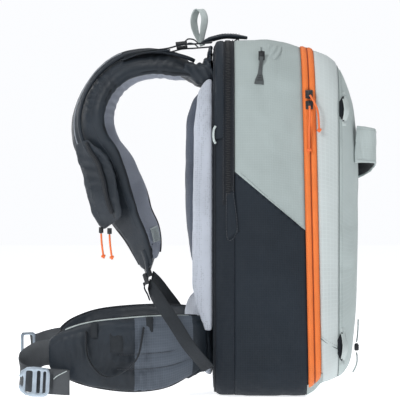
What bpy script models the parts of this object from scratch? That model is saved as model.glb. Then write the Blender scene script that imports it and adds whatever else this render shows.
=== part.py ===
"""Ski backpack with a fan-inflated airbag: a clamshell pack on a padded harness.

Metres. +Z is up, +X is the pack's front (away from the wearer), -Y is the wearer's left.
The origin is the middle of the flat base that the pack stands on.
"""
import math

import bmesh
import bpy
import numpy as np
from mathutils import Matrix, Vector

# ---- driving dimensions -------------------------------------------------------------
BACK_X = -0.078          # back wall
SEAM_X = -0.0465         # seam between the airbag compartment and the main compartment
GUSSET_X = 0.1075        # seam between the lid's side gusset and its front panel
WALL = 0.0026            # fabric wall with its lining and foam
GAP = 0.0004             # between touching pieces
ZIP_X = 0.0672           # the main zip's middle, at mid height
ZIP_HALF = 0.0095        # one tape of the main zip
ZIP_LEAN = 0.0112        # the zip's lower end is this much further forward than its top
LID_HINGE = (0.0720, 0.0, 0.0070)    # the lid turns about the Y line through this point
WING_HINGE = (-0.0840, 0.0920, 0.0700)   # a hip wing folds about the Z line through this point
FAN = (-0.0650, -0.0100, 0.2450)     # the blower's back, on its axle
HOOK_Y = -0.1240         # the webbing's line at the left end of the hip belt; the right is its mirror
BACK_PAD_Y = 0.058       # the middle of each back pad
STRAP_Y = 0.060          # a shoulder strap's middle at the yoke
STRAP_LOW_Y = 0.118      # and at its lower end
WEBBING = 0.0018         # webbing thickness
CORD = 0.0030            # zip pull cord

# side view of the bag as (x, z), and its half width as (x, y)
TOP_LINE = ((-0.078, 0.514), (-0.073, 0.5245), (-0.062, 0.5275), (-0.036, 0.5295),
            (0.003, 0.5295), (0.024, 0.5255), (0.050, 0.520), (0.067, 0.517),
            (0.091, 0.507), (0.104, 0.498), (0.1155, 0.480), (0.126, 0.457),
            (0.133, 0.436), (0.1365, 0.417), (0.1386, 0.401), (0.1415, 0.331))
BOTTOM_LINE = ((-0.078, 0.010), (-0.073, 0.003), (-0.067, 0.0), (0.060, 0.0),
               (0.0726, 0.008), (0.082, 0.018), (0.0965, 0.0235), (0.109, 0.0275),
               (0.1155, 0.032), (0.125, 0.043), (0.130, 0.054), (0.132, 0.070),
               (0.1358, 0.117), (0.1377, 0.136), (0.1386, 0.213), (0.1415, 0.289))
HALF_WIDTH = ((-0.078, 0.128), (-0.073, 0.1355), (-0.062, 0.1400), (-0.030, 0.1435),
              (0.010, 0.1455), (0.060, 0.1440), (0.090, 0.1395), (0.1079, 0.1340),
              (0.1155, 0.1290), (0.122, 0.1230), (0.128, 0.1150), (0.1325, 0.1060),
              (0.136, 0.0950), (0.1386, 0.0820), (0.1415, 0.0500))
TOP_RADIUS = 0.058
BOTTOM_RADIUS = 0.042
ARC_STEPS = 4
SIDE_STEPS = 4

# colours as linear red, green, blue
PALE = (0.40, 0.47, 0.46)
NAVY = (0.022, 0.031, 0.043)
BLACK = (0.012, 0.014, 0.017)
ORANGE = (0.90, 0.22, 0.05)
LAVENDER = (0.36, 0.40, 0.48)
METAL = (0.45, 0.52, 0.60)


# ---- helpers ------------------------------------------------------------------------
def clear_scene():
    for thing in list(bpy.data.objects):
        bpy.data.objects.remove(thing, do_unlink=True)


def collection(name):
    found = bpy.data.collections.new(name)
    bpy.context.scene.collection.children.link(found)
    return found


def material(name, colour, roughness=0.8, metallic=0.0):
    made = bpy.data.materials.get(name) or bpy.data.materials.new(name)
    made.use_nodes = True
    shader = made.node_tree.nodes["Principled BSDF"]
    shader.inputs["Base Color"].default_value = (*colour, 1.0)
    shader.inputs["Roughness"].default_value = roughness
    shader.inputs["Metallic"].default_value = metallic
    return made


def add(name, data, finish):
    thing = bpy.data.objects.new(name, data)
    data.materials.append(finish)
    PARTS.objects.link(thing)
    return thing


def solid(name, bm, finish):
    """Close a bmesh into an object, with its faces pointing out."""
    bmesh.ops.recalc_face_normals(bm, faces=bm.faces)
    mesh = bpy.data.meshes.new(name)
    bm.to_mesh(mesh)
    bm.free()
    return add(name, mesh, finish)


def loft(name, rings, finish, closed=False):
    """Skin a list of equal closed rings; closed joins the last ring to the first."""
    bm = bmesh.new()
    rows = [[bm.verts.new(point) for point in ring] for ring in rings]
    count = len(rows[0])
    pairs = list(zip(rows, rows[1:]))
    if closed:
        pairs.append((rows[-1], rows[0]))
    for one, two in pairs:
        for i in range(count):
            j = (i + 1) % count
            bm.faces.new((one[i], one[j], two[j], two[i]))
    if not closed:
        bm.faces.new(rows[0])
        bm.faces.new(rows[-1])
    return solid(name, bm, finish)


def smooth_path(points, count):
    """Evenly spread points of a smooth curve through the given ones (Catmull-Rom)."""
    knots = [Vector(p) for p in points]
    knots = [2 * knots[0] - knots[1], *knots, 2 * knots[-1] - knots[-2]]
    fine = []
    for a, b, c, d in zip(knots, knots[1:], knots[2:], knots[3:]):
        for step in range(16):
            t = step / 16
            fine.append(0.5 * (2 * b + (c - a) * t + (2 * a - 5 * b + 4 * c - d) * t * t
                               + (3 * b - a - 3 * c + d) * t ** 3))
    fine.append(knots[-2])
    along = [0.0]
    for one, two in zip(fine, fine[1:]):
        along.append(along[-1] + (two - one).length)
    wanted = np.linspace(0.0, along[-1], count)
    axes = [np.interp(wanted, along, [p[k] for p in fine]) for k in range(3)]
    return [Vector(p) for p in zip(*axes)]


def directions(path):
    last = len(path) - 1
    return [(path[min(i + 1, last)] - path[max(i - 1, 0)]).normalized() for i in range(last + 1)]


def at(value, t):
    """A value at 0..1 along a piece: a number, or (t, value) pairs."""
    if isinstance(value, (int, float)):
        return value
    return float(np.interp(t, [v[0] for v in value], [v[1] for v in value]))


def ribbon(name, points, width, thick, across, finish, count=16):
    """Flat webbing along a path; across is the way its width runs."""
    path = smooth_path(points, count)
    rings = []
    for i, (centre, way) in enumerate(zip(path, directions(path))):
        t = i / (count - 1)
        side = across(t) if callable(across) else Vector(across)
        side = (side - way * side.dot(way)).normalized() * (at(width, t) / 2)
        up = way.cross(side).normalized() * (at(thick, t) / 2)
        rings.append([centre + side + up, centre - side + up, centre - side - up,
                      centre + side - up])
    return loft(name, rings, finish)


def pad(name, points, width, thick, across, finish, count=18, sides=12, square=0.55):
    """A padded strip along a path: a rounded, crowned section."""
    path = smooth_path(points, count)
    rings = []
    for i, (centre, way) in enumerate(zip(path, directions(path))):
        t = i / (count - 1)
        side = across(t) if callable(across) else Vector(across)
        side = (side - way * side.dot(way)).normalized()
        up = way.cross(side).normalized()
        ring = []
        for k in range(sides):
            angle = math.tau * (k + 0.5) / sides
            c = math.copysign(abs(math.cos(angle)) ** square, math.cos(angle))
            s = math.copysign(abs(math.sin(angle)) ** square, math.sin(angle))
            ring.append(centre + side * c * at(width, t) / 2 + up * s * at(thick, t) / 2)
        rings.append(ring)
    return loft(name, rings, finish)


def cord(name, points, diameter, finish):
    """A round cord on a curve with filled ends."""
    curve = bpy.data.curves.new(name, "CURVE")
    curve.dimensions = "3D"
    curve.bevel_depth = diameter / 2
    curve.bevel_resolution = 2
    curve.use_fill_caps = True
    length = sum((Vector(b) - Vector(a)).length for a, b in zip(points, points[1:]))
    path = smooth_path(points, max(6, min(60, int(length / (3.2 * diameter)))))
    line = curve.splines.new("POLY")
    line.points.add(len(path) - 1)
    for spot, point in zip(line.points, path):
        spot.co = (*point, 1.0)
    return add(name, curve, finish)


def guide(thing):
    """Make an object a cutter or a piece that a Boolean joins, not a part."""
    PARTS.objects.unlink(thing)
    GUIDES.objects.link(thing)
    thing.hide_render = True
    thing.display_type = "WIRE"


def box(name, low, high, finish, bevel=0.0, segments=2):
    bm = bmesh.new()
    bmesh.ops.create_cube(bm, size=1.0)
    low = Vector(low)
    size = Vector(high) - low
    for vert in bm.verts:
        vert.co = [low[k] + (vert.co[k] + 0.5) * size[k] for k in range(3)]
    made = solid(name, bm, finish)
    if bevel:
        rounding = made.modifiers.new("rounding", "BEVEL")
        rounding.width = bevel
        rounding.segments = segments
    return made


def plate(name, outline, holes, thick, centre, right, up, finish):
    """A flat plate from a 2D outline with holes, its face spanned by right and up."""
    curve = bpy.data.curves.new(name, "CURVE")
    curve.dimensions = "2D"
    curve.fill_mode = "BOTH"
    curve.extrude = thick / 2
    for loop in (outline, *holes):
        line = curve.splines.new("POLY")
        line.points.add(len(loop) - 1)
        for spot, (x, y) in zip(line.points, loop):
            spot.co = (x, y, 0.0, 1.0)
        line.use_cyclic_u = True
    made = add(name, curve, finish)
    right = Vector(right).normalized()
    normal = right.cross(Vector(up)).normalized()
    up = normal.cross(right)
    rows = [(right[k], up[k], normal[k], centre[k]) for k in range(3)]
    made.matrix_world = Matrix((*rows, (0, 0, 0, 1)))
    return made


def half_round(wide, deep, y, z, steps, square):
    """A pad's section at height z: flat on the bag, crowned towards the wearer."""
    ring = []
    for k in range(steps):
        angle = math.pi * k / (steps - 1)
        crown = deep * max(0.0, math.sin(angle)) ** square
        ring.append(Vector((BACK_X - GAP - crown, y - wide / 2 * math.cos(angle), z)))
    return ring


def rounded(width, height, radius, steps=3, cx=0.0, cy=0.0):
    """A rounded rectangle as a list of (x, y)."""
    corners = ((1, 1, 0), (-1, 1, 90), (-1, -1, 180), (1, -1, 270))
    points = []
    for sx, sy, start in corners:
        for step in range(steps + 1):
            angle = math.radians(start + 90 * step / steps)
            points.append((cx + sx * (width / 2 - radius) + radius * math.cos(angle),
                           cy + sy * (height / 2 - radius) + radius * math.sin(angle)))
    return points


# ---- the bag's section --------------------------------------------------------------
def lean(z):
    """How far the zip line stands forward of its middle height at this height."""
    return ZIP_LEAN * (0.26 - z) / 0.507


def taper(z):
    """The bag narrows towards its top, and a little towards its base."""
    if z > 0.30:
        return 1.0 - 0.15 * ((z - 0.30) / 0.23) ** 2
    return 1.0 - 0.05 * ((0.30 - z) / 0.30) ** 2


def section(x, inset=0.0, share=0.0):
    """The bag's ring at x, drawn in from the surface; share is how much of the lean it has."""
    high = at(TOP_LINE, x + share * lean(0.52)) - inset
    low = at(BOTTOM_LINE, x + share * lean(0.0)) + inset
    half = at(HALF_WIDTH, x) - inset
    most = 0.46 * (high - low)
    top_r = min(TOP_RADIUS - inset, most, 0.8 * half)
    low_r = min(BOTTOM_RADIUS - inset, most, 0.8 * half)
    right = []
    for step in range(ARC_STEPS + 1):
        angle = math.pi / 2 * step / ARC_STEPS
        right.append((half - low_r + low_r * math.sin(angle), low + low_r - low_r * math.cos(angle)))
    for step in range(1, SIDE_STEPS):
        right.append((half, low + low_r + (high - top_r - low - low_r) * step / SIDE_STEPS))
    for step in range(ARC_STEPS + 1):
        angle = math.pi / 2 * step / ARC_STEPS
        right.append((half - top_r + top_r * math.cos(angle), high - top_r + top_r * math.sin(angle)))
    ring = [(y, z) for y, z in right] + [(0.0, high)] + [(-y, z) for y, z in reversed(right)]
    ring.append((0.0, low))
    return [Vector((x + share * lean(z), y * taper(z), z)) for y, z in ring]


RING_SIDE = 2 * ARC_STEPS + SIDE_STEPS + 1      # points up one side of a ring


def surface_y(x, z, off=0.0):
    """The left wall's y at this place, off metres outside it."""
    ring = section(x)
    side = ring[RING_SIDE + 1:-1]
    found = float(np.interp(z, [p.z for p in reversed(side)], [p.y for p in reversed(side)]))
    return found - off


def along_ring(name, x0, x1, share0, share1, out, deep, first, last, finish):
    """A strip that follows the bag's section from point first to point last."""
    grid = [section(x0, -out, share0), section(x1, -out, share1),
            section(x1, deep, share1), section(x0, deep, share0)]
    rings = [[row[i] for row in grid] for i in range(first, last + 1)]
    return loft(name, rings, finish)


# ---- bag ----------------------------------------------------------------------------
def make_bag():
    navy = material("navy_fabric", NAVY)
    pale = material("pale_fabric", PALE)
    orange = material("orange_tape", ORANGE, 0.6)
    black = material("black_plastic", BLACK, 0.5)

    mouth = SEAM_X - GAP
    back = [(BACK_X, 0), (-0.073, 0), (-0.062, 0), (mouth, 0)]
    rings = [section(x) for x, _ in back]
    rings += [section(x, WALL) for x in (mouth, -0.062, BACK_X + WALL)]
    loft("airbag_compartment", rings, navy)

    edge = ZIP_X - ZIP_HALF - GAP
    outer = [(SEAM_X, 0), (-0.015, 0.3), (0.020, 0.7), (edge, 1)]
    rings = [section(x, 0, s) for x, s in outer]
    rings += [section(x, WALL, s) for x, s in reversed(outer)]
    loft("main_compartment", rings, pale, closed=True)

    tape = (2, 2 * RING_SIDE - 1)
    along_ring("main_zip_tape_body", ZIP_X - ZIP_HALF, ZIP_X - GAP / 2, 1, 1, GAP, 0.0020, *tape,
               orange)
    along_ring("main_zip_tape_lid", ZIP_X + GAP / 2, ZIP_X + ZIP_HALF, 1, 1, GAP, 0.0020, *tape,
               orange)

    lid_edge = ZIP_X + ZIP_HALF + GAP
    outer = [(GUSSET_X, 0), (0.094, 0.4), (0.085, 0.8), (lid_edge, 1)]
    rings = [section(x, 0, s) for x, s in outer]
    rings += [section(x, WALL, s) for x, s in reversed(outer)]
    loft("lid_gusset", rings, pale, closed=True)

    nose = (0.1405, 0.1386, 0.136, 0.1325, 0.128, 0.122, 0.1155, GUSSET_X + GAP)
    rings = [section(x) for x in nose]
    rings += [section(x, WALL) for x in reversed(nose[2:])]
    loft("front_panel", rings, pale)

    # fabric that joins the lid's floor to the bag's floor, along the hinge line
    box("lid_hinge_strip", (0.0640, -0.085, 0.0030), (0.0735, 0.085, 0.0050), pale)

    # burst zip round the airbag compartment's front edge
    burst = (ARC_STEPS + 3, 2 * RING_SIDE - ARC_STEPS - 2)
    along_ring("burst_zip", -0.0620, -0.0480, 0, 0, 0.0018, -GAP, *burst, black)


def make_inside():
    """The frame, the airbag and its blower, sealed in the airbag compartment."""
    plastic = material("frame_plastic", (0.05, 0.05, 0.055), 0.6)
    alloy = material("stay_alloy", METAL, 0.35, 1.0)
    orange = material("airbag_fabric", ORANGE, 0.6)
    black = material("black_plastic", BLACK, 0.5)
    grey = material("divider_fabric", (0.12, 0.13, 0.15))

    box("frame_sheet", (-0.0728, -0.100, 0.040), (-0.0710, 0.100, 0.490), plastic, 0.0)
    for side, sign in (("left", -1), ("right", 1)):
        ribbon(f"frame_stay_{side}", [(-0.0690, 0.050 * sign, 0.060), (-0.0690, 0.070 * sign, 0.280),
                                      (-0.0690, 0.085 * sign, 0.480)],
               0.012, 0.0025, (0, 1, 0), alloy, 4)
    pad("airbag", [(-0.0575, 0, 0.300), (-0.0575, 0, 0.400), (-0.0575, 0, 0.500)],
        ((0, 0.20), (0.5, 0.215), (1, 0.16)), ((0, 0.012), (0.5, 0.016), (1, 0.012)), (0, 1, 0),
        orange, 8, 12, 0.4)
    box("divider_panel", (-0.0440, -0.124, 0.045), (-0.0420, 0.124, 0.460), grey)

    # blower: a round housing with an open inlet, a bladed wheel on the motor's axle
    x0, fan_y, fan_z = FAN
    housing = bmesh.new()
    sides = 24
    profile = ((0.034, 0), (0.034, 0.016), (0.022, 0.016), (0.022, 0.0145), (0.0325, 0.0145),
               (0.0325, 0.0015), (0.003, 0.0015), (0.003, 0.0))
    rows = []
    for k in range(sides):
        angle = math.tau * k / sides
        rows.append([housing.verts.new((x0 + x, fan_y + r * math.cos(angle),
                                        fan_z + r * math.sin(angle))) for r, x in profile])
    for k in range(sides):
        one, two = rows[k], rows[(k + 1) % sides]
        for i in range(len(profile)):
            j = (i + 1) % len(profile)
            housing.faces.new((one[i], one[j], two[j], two[i]))
    solid("blower_housing", housing, black)

    wheel = bmesh.new()
    bmesh.ops.create_cone(wheel, cap_ends=True, segments=16, radius1=0.028, radius2=0.028, depth=0.0016)
    blades = bpy.data.meshes.new("blower_wheel")
    for vert in wheel.verts:
        x, y, z = vert.co
        vert.co = (x0 + 0.0044 + z, fan_y + x, fan_z + y)
    wheel.to_mesh(blades)
    wheel.free()
    made = add("blower_wheel", blades, plastic)
    for k in range(9):
        angle = math.tau * k / 9
        fin = bmesh.new()
        bmesh.ops.create_cube(fin, size=1.0)
        for vert in fin.verts:
            r = 0.0185 + vert.co.y * 0.015
            turn = angle + (vert.co.y + 0.5) * 0.35 + vert.co.z * 0.0012 / r
            vert.co = (x0 + 0.0084 + vert.co.x * 0.0080, fan_y + r * math.cos(turn),
                       fan_z + r * math.sin(turn))
        bmesh.ops.recalc_face_normals(fin, faces=fin.faces)
        mesh = bpy.data.meshes.new(f"blade_{k}")
        fin.to_mesh(mesh)
        fin.free()
        blade = add(f"blade_{k}", mesh, plastic)
        guide(blade)
        join = made.modifiers.new(f"blade_{k}", "BOOLEAN")
        join.operation = "UNION"
        join.object = blade

    box("capacitor_pack", (-0.0660, 0.040, 0.135), (-0.0500, 0.110, 0.245), black, 0.003, 1)
    case = box("control_box", (-0.0660, -0.110, 0.135), (-0.0500, -0.050, 0.215), black, 0.003, 1)
    recess = box("button_recess", (-0.0530, -0.0860, 0.1690), (-0.0480, -0.0720, 0.1830), black)
    guide(recess)
    cut = case.modifiers.new("button_recess", "BOOLEAN")
    cut.operation = "DIFFERENCE"
    cut.object = recess
    box("power_button", (-0.0506, -0.085, 0.170), (-0.0476, -0.073, 0.182), orange)


def make_back():
    """Foam pads, lumbar pad, yoke, haul handle and hang loop."""
    lavender = material("back_mesh", LAVENDER, 0.9)
    navy = material("navy_fabric", NAVY)
    pale = material("pale_webbing", (0.5, 0.58, 0.57), 0.7)
    dark = material("dark_webbing", (0.05, 0.055, 0.065), 0.8)
    for side, sign in (("left", -1), ("right", 1)):
        rings = []
        for z, wide, deep in ((0.461, 0.026, 0.010), (0.447, 0.054, 0.030), (0.413, 0.070, 0.042),
                              (0.330, 0.076, 0.044), (0.260, 0.076, 0.042), (0.205, 0.072, 0.036),
                              (0.174, 0.058, 0.028), (0.161, 0.030, 0.012)):
            rings.append(half_round(wide, deep, sign * BACK_PAD_Y, z, 12, 0.6))
        loft(f"back_pad_{side}", rings, lavender)
    rings = [half_round(wide, deep, 0.0, z, 14, 0.5) for z, wide, deep in
             ((0.157, 0.126, 0.014), (0.145, 0.150, 0.036), (0.115, 0.160, 0.047),
              (0.075, 0.158, 0.038), (0.036, 0.138, 0.020), (0.022, 0.110, 0.008))]
    loft("lumbar_pad", rings, lavender)
    rings = [half_round(wide, deep, 0.0, z, 12, 0.3) for z, wide, deep in
             ((0.462, 0.150, 0.006), (0.470, 0.190, 0.009), (0.495, 0.190, 0.009),
              (0.512, 0.182, 0.009), (0.5225, 0.165, 0.006))]
    loft("shoulder_yoke", rings, navy)

    # the padded haul handle lies along the top, from the yoke forward
    ribbon("haul_handle", [(-0.0865, 0, 0.5275), (-0.0800, 0, 0.5350), (-0.0640, 0, 0.5415),
                           (-0.0440, 0, 0.5405), (-0.0300, 0, 0.5325)],
           ((0, 0.030), (0.5, 0.034), (1, 0.030)), ((0, 0.003), (0.5, 0.007), (1, 0.003)), (0, 1, 0),
           dark, 12)
    ribbon("hang_loop", [(-0.0935, 0.009, 0.5255), (-0.0985, 0.008, 0.5350),
                         (-0.1045, 0.007, 0.5500), (-0.1105, 0.003, 0.5680), (-0.1060, 0, 0.5795),
                         (-0.0985, -0.002, 0.5825), (-0.0905, -0.004, 0.5770),
                         (-0.0890, -0.007, 0.5640), (-0.0925, -0.009, 0.5480),
                         (-0.0945, -0.011, 0.5350), (-0.0925, -0.012, 0.5255)],
           0.011, 0.0011, (0.35, 1, 0), pale, 18)


# ---- zip sliders and pulls ------------------------------------------------------------
MAIN_SLIDERS = {name: (ZIP_X + lean(z), surface_y(ZIP_X, z, 0.0048), z)
                for name, z in (("upper", 0.4475), ("lower", 0.4315))}
SIDE_SLIDER = (-0.0065, surface_y(-0.0065, 0.4970, 0.0036), 0.5045)
POCKET_SLIDERS = [(-0.2440, -0.1200, 0.2470), (-0.2310, -0.1345, 0.2460)]


def slider(name, centre, size, finish):
    """A zip slider: a small rounded block on the tape."""
    half = Vector(size) / 2
    centre = Vector(centre)
    return box(name, centre - half, centre + half, finish, min(size) * 0.28, 1)


def make_sliders():
    black = material("black_plastic", BLACK, 0.5)
    orange = material("orange_cord", ORANGE, 0.55)
    grey = material("grey_pull", (0.06, 0.065, 0.07), 0.7)
    for name, place in MAIN_SLIDERS.items():
        slider(f"main_slider_{name}", place, (0.0115, 0.0072, 0.0125), black)
    x, y, z = MAIN_SLIDERS["lower"]
    out = y - 0.0052
    cord("main_pull_lower", [(x, out, z - 0.0010), (x + 0.0005, out - 0.001, z - 0.018),
                             (x - 0.0005, out - 0.0005, z - 0.036), (x, out, z - 0.069)], CORD, orange)
    x, y, z = MAIN_SLIDERS["upper"]
    out = y - 0.0052
    cord("main_pull_upper", [(x + 0.0010, out, z - 0.0010), (x + 0.0085, out - 0.001, z - 0.014),
                             (x + 0.0130, out - 0.001, z - 0.028), (x + 0.0150, out, z - 0.056)],
         CORD, orange)

    x, y, z = SIDE_SLIDER
    slider("side_slider", SIDE_SLIDER, (0.0100, 0.0060, 0.0150), black)
    hang = [(x - 0.1 * drop, min(y - 0.0047, surface_y(x, z - drop, 0.0035)), z - drop)
            for drop in (-0.001, 0.013, 0.027, 0.041)]
    ribbon("side_pull", hang, ((0, 0.006), (0.5, 0.007), (1, 0.014)), 0.0020, (1, 0, 0.1), grey, 8)


# ---- harness ----------------------------------------------------------------------------
STRAP_PATH = ((-0.1030, 0.4795), (-0.1200, 0.4905), (-0.1500, 0.4985), (-0.1800, 0.4990),
              (-0.2100, 0.4920), (-0.2350, 0.4740), (-0.2520, 0.4510), (-0.2620, 0.4270),
              (-0.2650, 0.4020), (-0.2590, 0.3760), (-0.2430, 0.3490), (-0.2310, 0.3220),
              (-0.2220, 0.2970), (-0.2100, 0.2670), (-0.1930, 0.2370), (-0.1810, 0.2090),
              (-0.1740, 0.1900))
LOCK = (-0.1770, 0.1810)      # ladder lock at the strap's lower end
ANCHOR = (-0.0880, 0.0430)    # where the lower webbing meets the bag


def strap_y(t):
    """How far out a strap's middle is: close at the neck, wider at the chest."""
    return float(np.interp(t, (0, 0.25, 0.55, 1.0), (STRAP_Y, 0.072, 0.096, STRAP_LOW_Y)))


def strap_points(sign):
    last = len(STRAP_PATH) - 1
    return [(x, sign * strap_y(i / last), z) for i, (x, z) in enumerate(STRAP_PATH)]


def strap_across(sign):
    """The strap lies flat on the chest and wraps round it: its outer edge is nearer the bag."""
    def way(t):
        turn = float(np.interp(t, (0, 0.3, 0.6, 1.0), (0.10, 0.20, 0.70, 0.75)))
        return Vector((math.sin(turn), sign * math.cos(turn), 0.0))
    return way


def strap_off(t, sign, off):
    """A point off metres outside a strap's middle surface, at 0..1 down its length."""
    count = 65
    path = smooth_path(strap_points(sign), count)
    spot = round(t * (count - 1))
    way = directions(path)[spot]
    side = strap_across(sign)(t)
    side = (side - way * side.dot(way)).normalized()
    out = way.cross(side).normalized()
    if out.x > 0 and abs(out.x) > abs(out.z) or out.z < 0 and abs(out.z) > abs(out.x):
        out = -out
    return path[spot] + out * off


def make_straps():
    navy = material("navy_fabric", NAVY)
    dark = material("dark_webbing", (0.05, 0.055, 0.065), 0.8)
    black = material("black_plastic", BLACK, 0.5)
    orange = material("orange_cord", ORANGE, 0.55)
    for side, sign in (("left", -1), ("right", 1)):
        pad(f"shoulder_pad_{side}", strap_points(sign),
            ((0, 0.060), (0.2, 0.066), (0.55, 0.066), (0.8, 0.054), (0.93, 0.034), (1, 0.024)),
            ((0, 0.016), (0.08, 0.030), (0.35, 0.030), (0.8, 0.020), (1, 0.010)), strap_across(sign),
            navy, 22, 12)
        y = sign * STRAP_LOW_Y
        box(f"ladder_lock_{side}", (LOCK[0] - 0.0115, y - 0.015, LOCK[1] - 0.0140),
            (LOCK[0] + 0.0095, y + 0.015, LOCK[1] + 0.0010), black, 0.002, 1)
        ribbon(f"lower_webbing_{side}", [(LOCK[0] + 0.0040, y, LOCK[1] - 0.0200),
                                         (-0.1560, y + 0.020 * sign, 0.1420),
                                         (-0.1360, y + 0.032 * sign, 0.1140),
                                         (-0.1130, y + 0.031 * sign, 0.0780),
                                         (ANCHOR[0], y + 0.022 * sign, ANCHOR[1])],
               0.0200, WEBBING, (0, 1, 0), dark, 9)
        y = sign * 0.068
        ribbon(f"load_lifter_{side}", [(-0.1480, y, 0.5195), (-0.1240, y, 0.5245), (-0.1040, y, 0.5240),
                                       (-0.0800, y * 0.96, 0.5300)],
               0.0190, WEBBING, (0, 1, 0), dark, 8)
        box(f"lifter_buckle_{side}", (-0.1350, y - 0.013, 0.5262), (-0.1170, y + 0.013, 0.5312), black,
            0.0012, 1)

    # the trigger handle lies on the left strap, under a zipped pocket's cover
    way = strap_across(-1)
    spots = [strap_off(t, -1, 0.0262) for t in (0.54, 0.62, 0.70, 0.78, 0.86)]
    pad("trigger_pocket", spots, ((0, 0.034), (0.3, 0.054), (0.8, 0.046), (1, 0.030)),
        ((0, 0.004), (0.4, 0.010), (0.85, 0.010), (1, 0.005)), lambda t: way(0.54 + 0.32 * t), navy,
        8, 10)
    spots = [strap_off(t, -1, 0.0172) for t in (0.66, 0.72, 0.78)]
    pad("trigger_handle", spots, 0.022, ((0, 0.0040), (0.3, 0.0052), (1, 0.0040)),
        lambda t: way(0.66 + 0.12 * t), orange, 5, 8)
    spots = [strap_off(t, -1, 0.0192 - 0.0022 * t / 0.65) for t in
             (0.03, 0.10, 0.17, 0.24, 0.31, 0.38, 0.45, 0.52, 0.59, 0.640)]
    cord("trigger_cable", spots, 0.0040, black)
    for k, (x, y, z) in enumerate(POCKET_SLIDERS):
        slider(f"pocket_slider_{k + 1}", (x, y, z), (0.0070, 0.0060, 0.0090), black)
        cord(f"pocket_pull_{k + 1}", [(x, y, z - 0.0050), (x + 0.0008, y, z - 0.018),
                                      (x + 0.0022, y, z - 0.030), (x + 0.0040, y, z - 0.0420)],
             CORD, orange)


# ---- hip belt ----------------------------------------------------------------------------
WING_TOP = ((0.0, 0.118), (0.25, 0.121), (0.50, 0.119), (0.75, 0.112), (0.92, 0.098), (1.0, 0.084))
WING_LOW = ((0.0, 0.048), (0.12, 0.030), (0.28, 0.014), (0.50, 0.010), (0.75, 0.018),
            (0.92, 0.032), (1.0, 0.046))
WING_PATH = ((-0.0900, 0.0960), (-0.1150, 0.1090), (-0.1600, 0.1280), (-0.2100, 0.1400),
             (-0.2550, 0.1410), (-0.2950, 0.1330), (-0.3180, 0.1240))


def make_belt():
    navy = material("navy_fabric", NAVY)
    dark = material("dark_webbing", (0.05, 0.055, 0.065), 0.8)
    alloy = material("buckle_alloy", METAL, 0.35, 1.0)
    count = 16
    for side, sign in (("left", -1), ("right", 1)):
        path = smooth_path([(x, sign * y, 0.0) for x, y in WING_PATH], count)
        ways = directions(path)
        rings = []
        for i, (centre, way) in enumerate(zip(path, ways)):
            t = i / (count - 1)
            out = Vector((way.y, -way.x, 0.0)).normalized()
            thick = at(((0, 0.010), (0.12, 0.018), (0.6, 0.018), (0.92, 0.013), (1, 0.006)), t) / 2
            high, low = at(WING_TOP, t), at(WING_LOW, t)
            ring = []
            for k in range(12):
                angle = math.tau * (k + 0.5) / 12
                c = math.copysign(abs(math.cos(angle)) ** 0.45, math.cos(angle))
                s = math.copysign(abs(math.sin(angle)) ** 0.45, math.sin(angle))
                ring.append(centre + out * c * thick + Vector((0, 0, (high + low) / 2
                                                               + s * (high - low) / 2)))
            rings.append(ring)
        loft(f"hip_wing_{side}", rings, navy)

    # left end: webbing runs on from the wing, turns back outside it and holds the hook buckle
    y = HOOK_Y
    ribbon("hip_webbing_left", [(-0.3225, y, 0.066), (-0.3380, y + 0.006, 0.062),
                                (-0.3560, y - 0.000, 0.050), (-0.3620, y - 0.016, 0.038),
                                (-0.3520, y - 0.030, 0.030), (-0.3200, y - 0.035, 0.0265),
                                (-0.2920, y - 0.0375, 0.0250)],
           0.038, WEBBING, lambda t: Vector((0, 0, 1)), dark, 20)
    outline = rounded(0.046, 0.044, 0.010, 3)
    slots = [rounded(0.0100, 0.034, 0.003, 1, -0.0100), rounded(0.0055, 0.034, 0.002, 1, 0.0060),
             rounded(0.0045, 0.034, 0.002, 1, 0.0155)]
    plate("hook_buckle", outline, slots, 0.0030, (-0.3400, y - 0.0370, 0.0265), (1, -0.10, -0.05),
          (0.05, 0.0, 1), alloy)
    # right end: a fixed loop of webbing with the buckle's bar
    y = -HOOK_Y
    ribbon("hip_webbing_right", [(-0.3225, y, 0.066), (-0.3400, y - 0.004, 0.062),
                                 (-0.3530, y - 0.011, 0.058)],
           0.038, WEBBING, (0, 0, 1), dark, 6)
    frame = rounded(0.024, 0.046, 0.005, 2)
    plate("catch_ring", frame, [rounded(0.015, 0.038, 0.003, 1)], 0.0030,
          (-0.3690, y - 0.0180, 0.0560), (1, 0.45, 0), (0, 0, 1), alloy)
    # gear loop on the outside of the left wing
    ribbon("gear_loop", [(-0.2650, -0.1530, 0.1000), (-0.2620, -0.1600, 0.0620),
                         (-0.2420, -0.1640, 0.0360), (-0.2180, -0.1640, 0.0360),
                         (-0.1900, -0.1590, 0.0600), (-0.1800, -0.1490, 0.1050)],
           0.009, 0.0014, (0.2, 1, 0.0), dark, 16)


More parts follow.
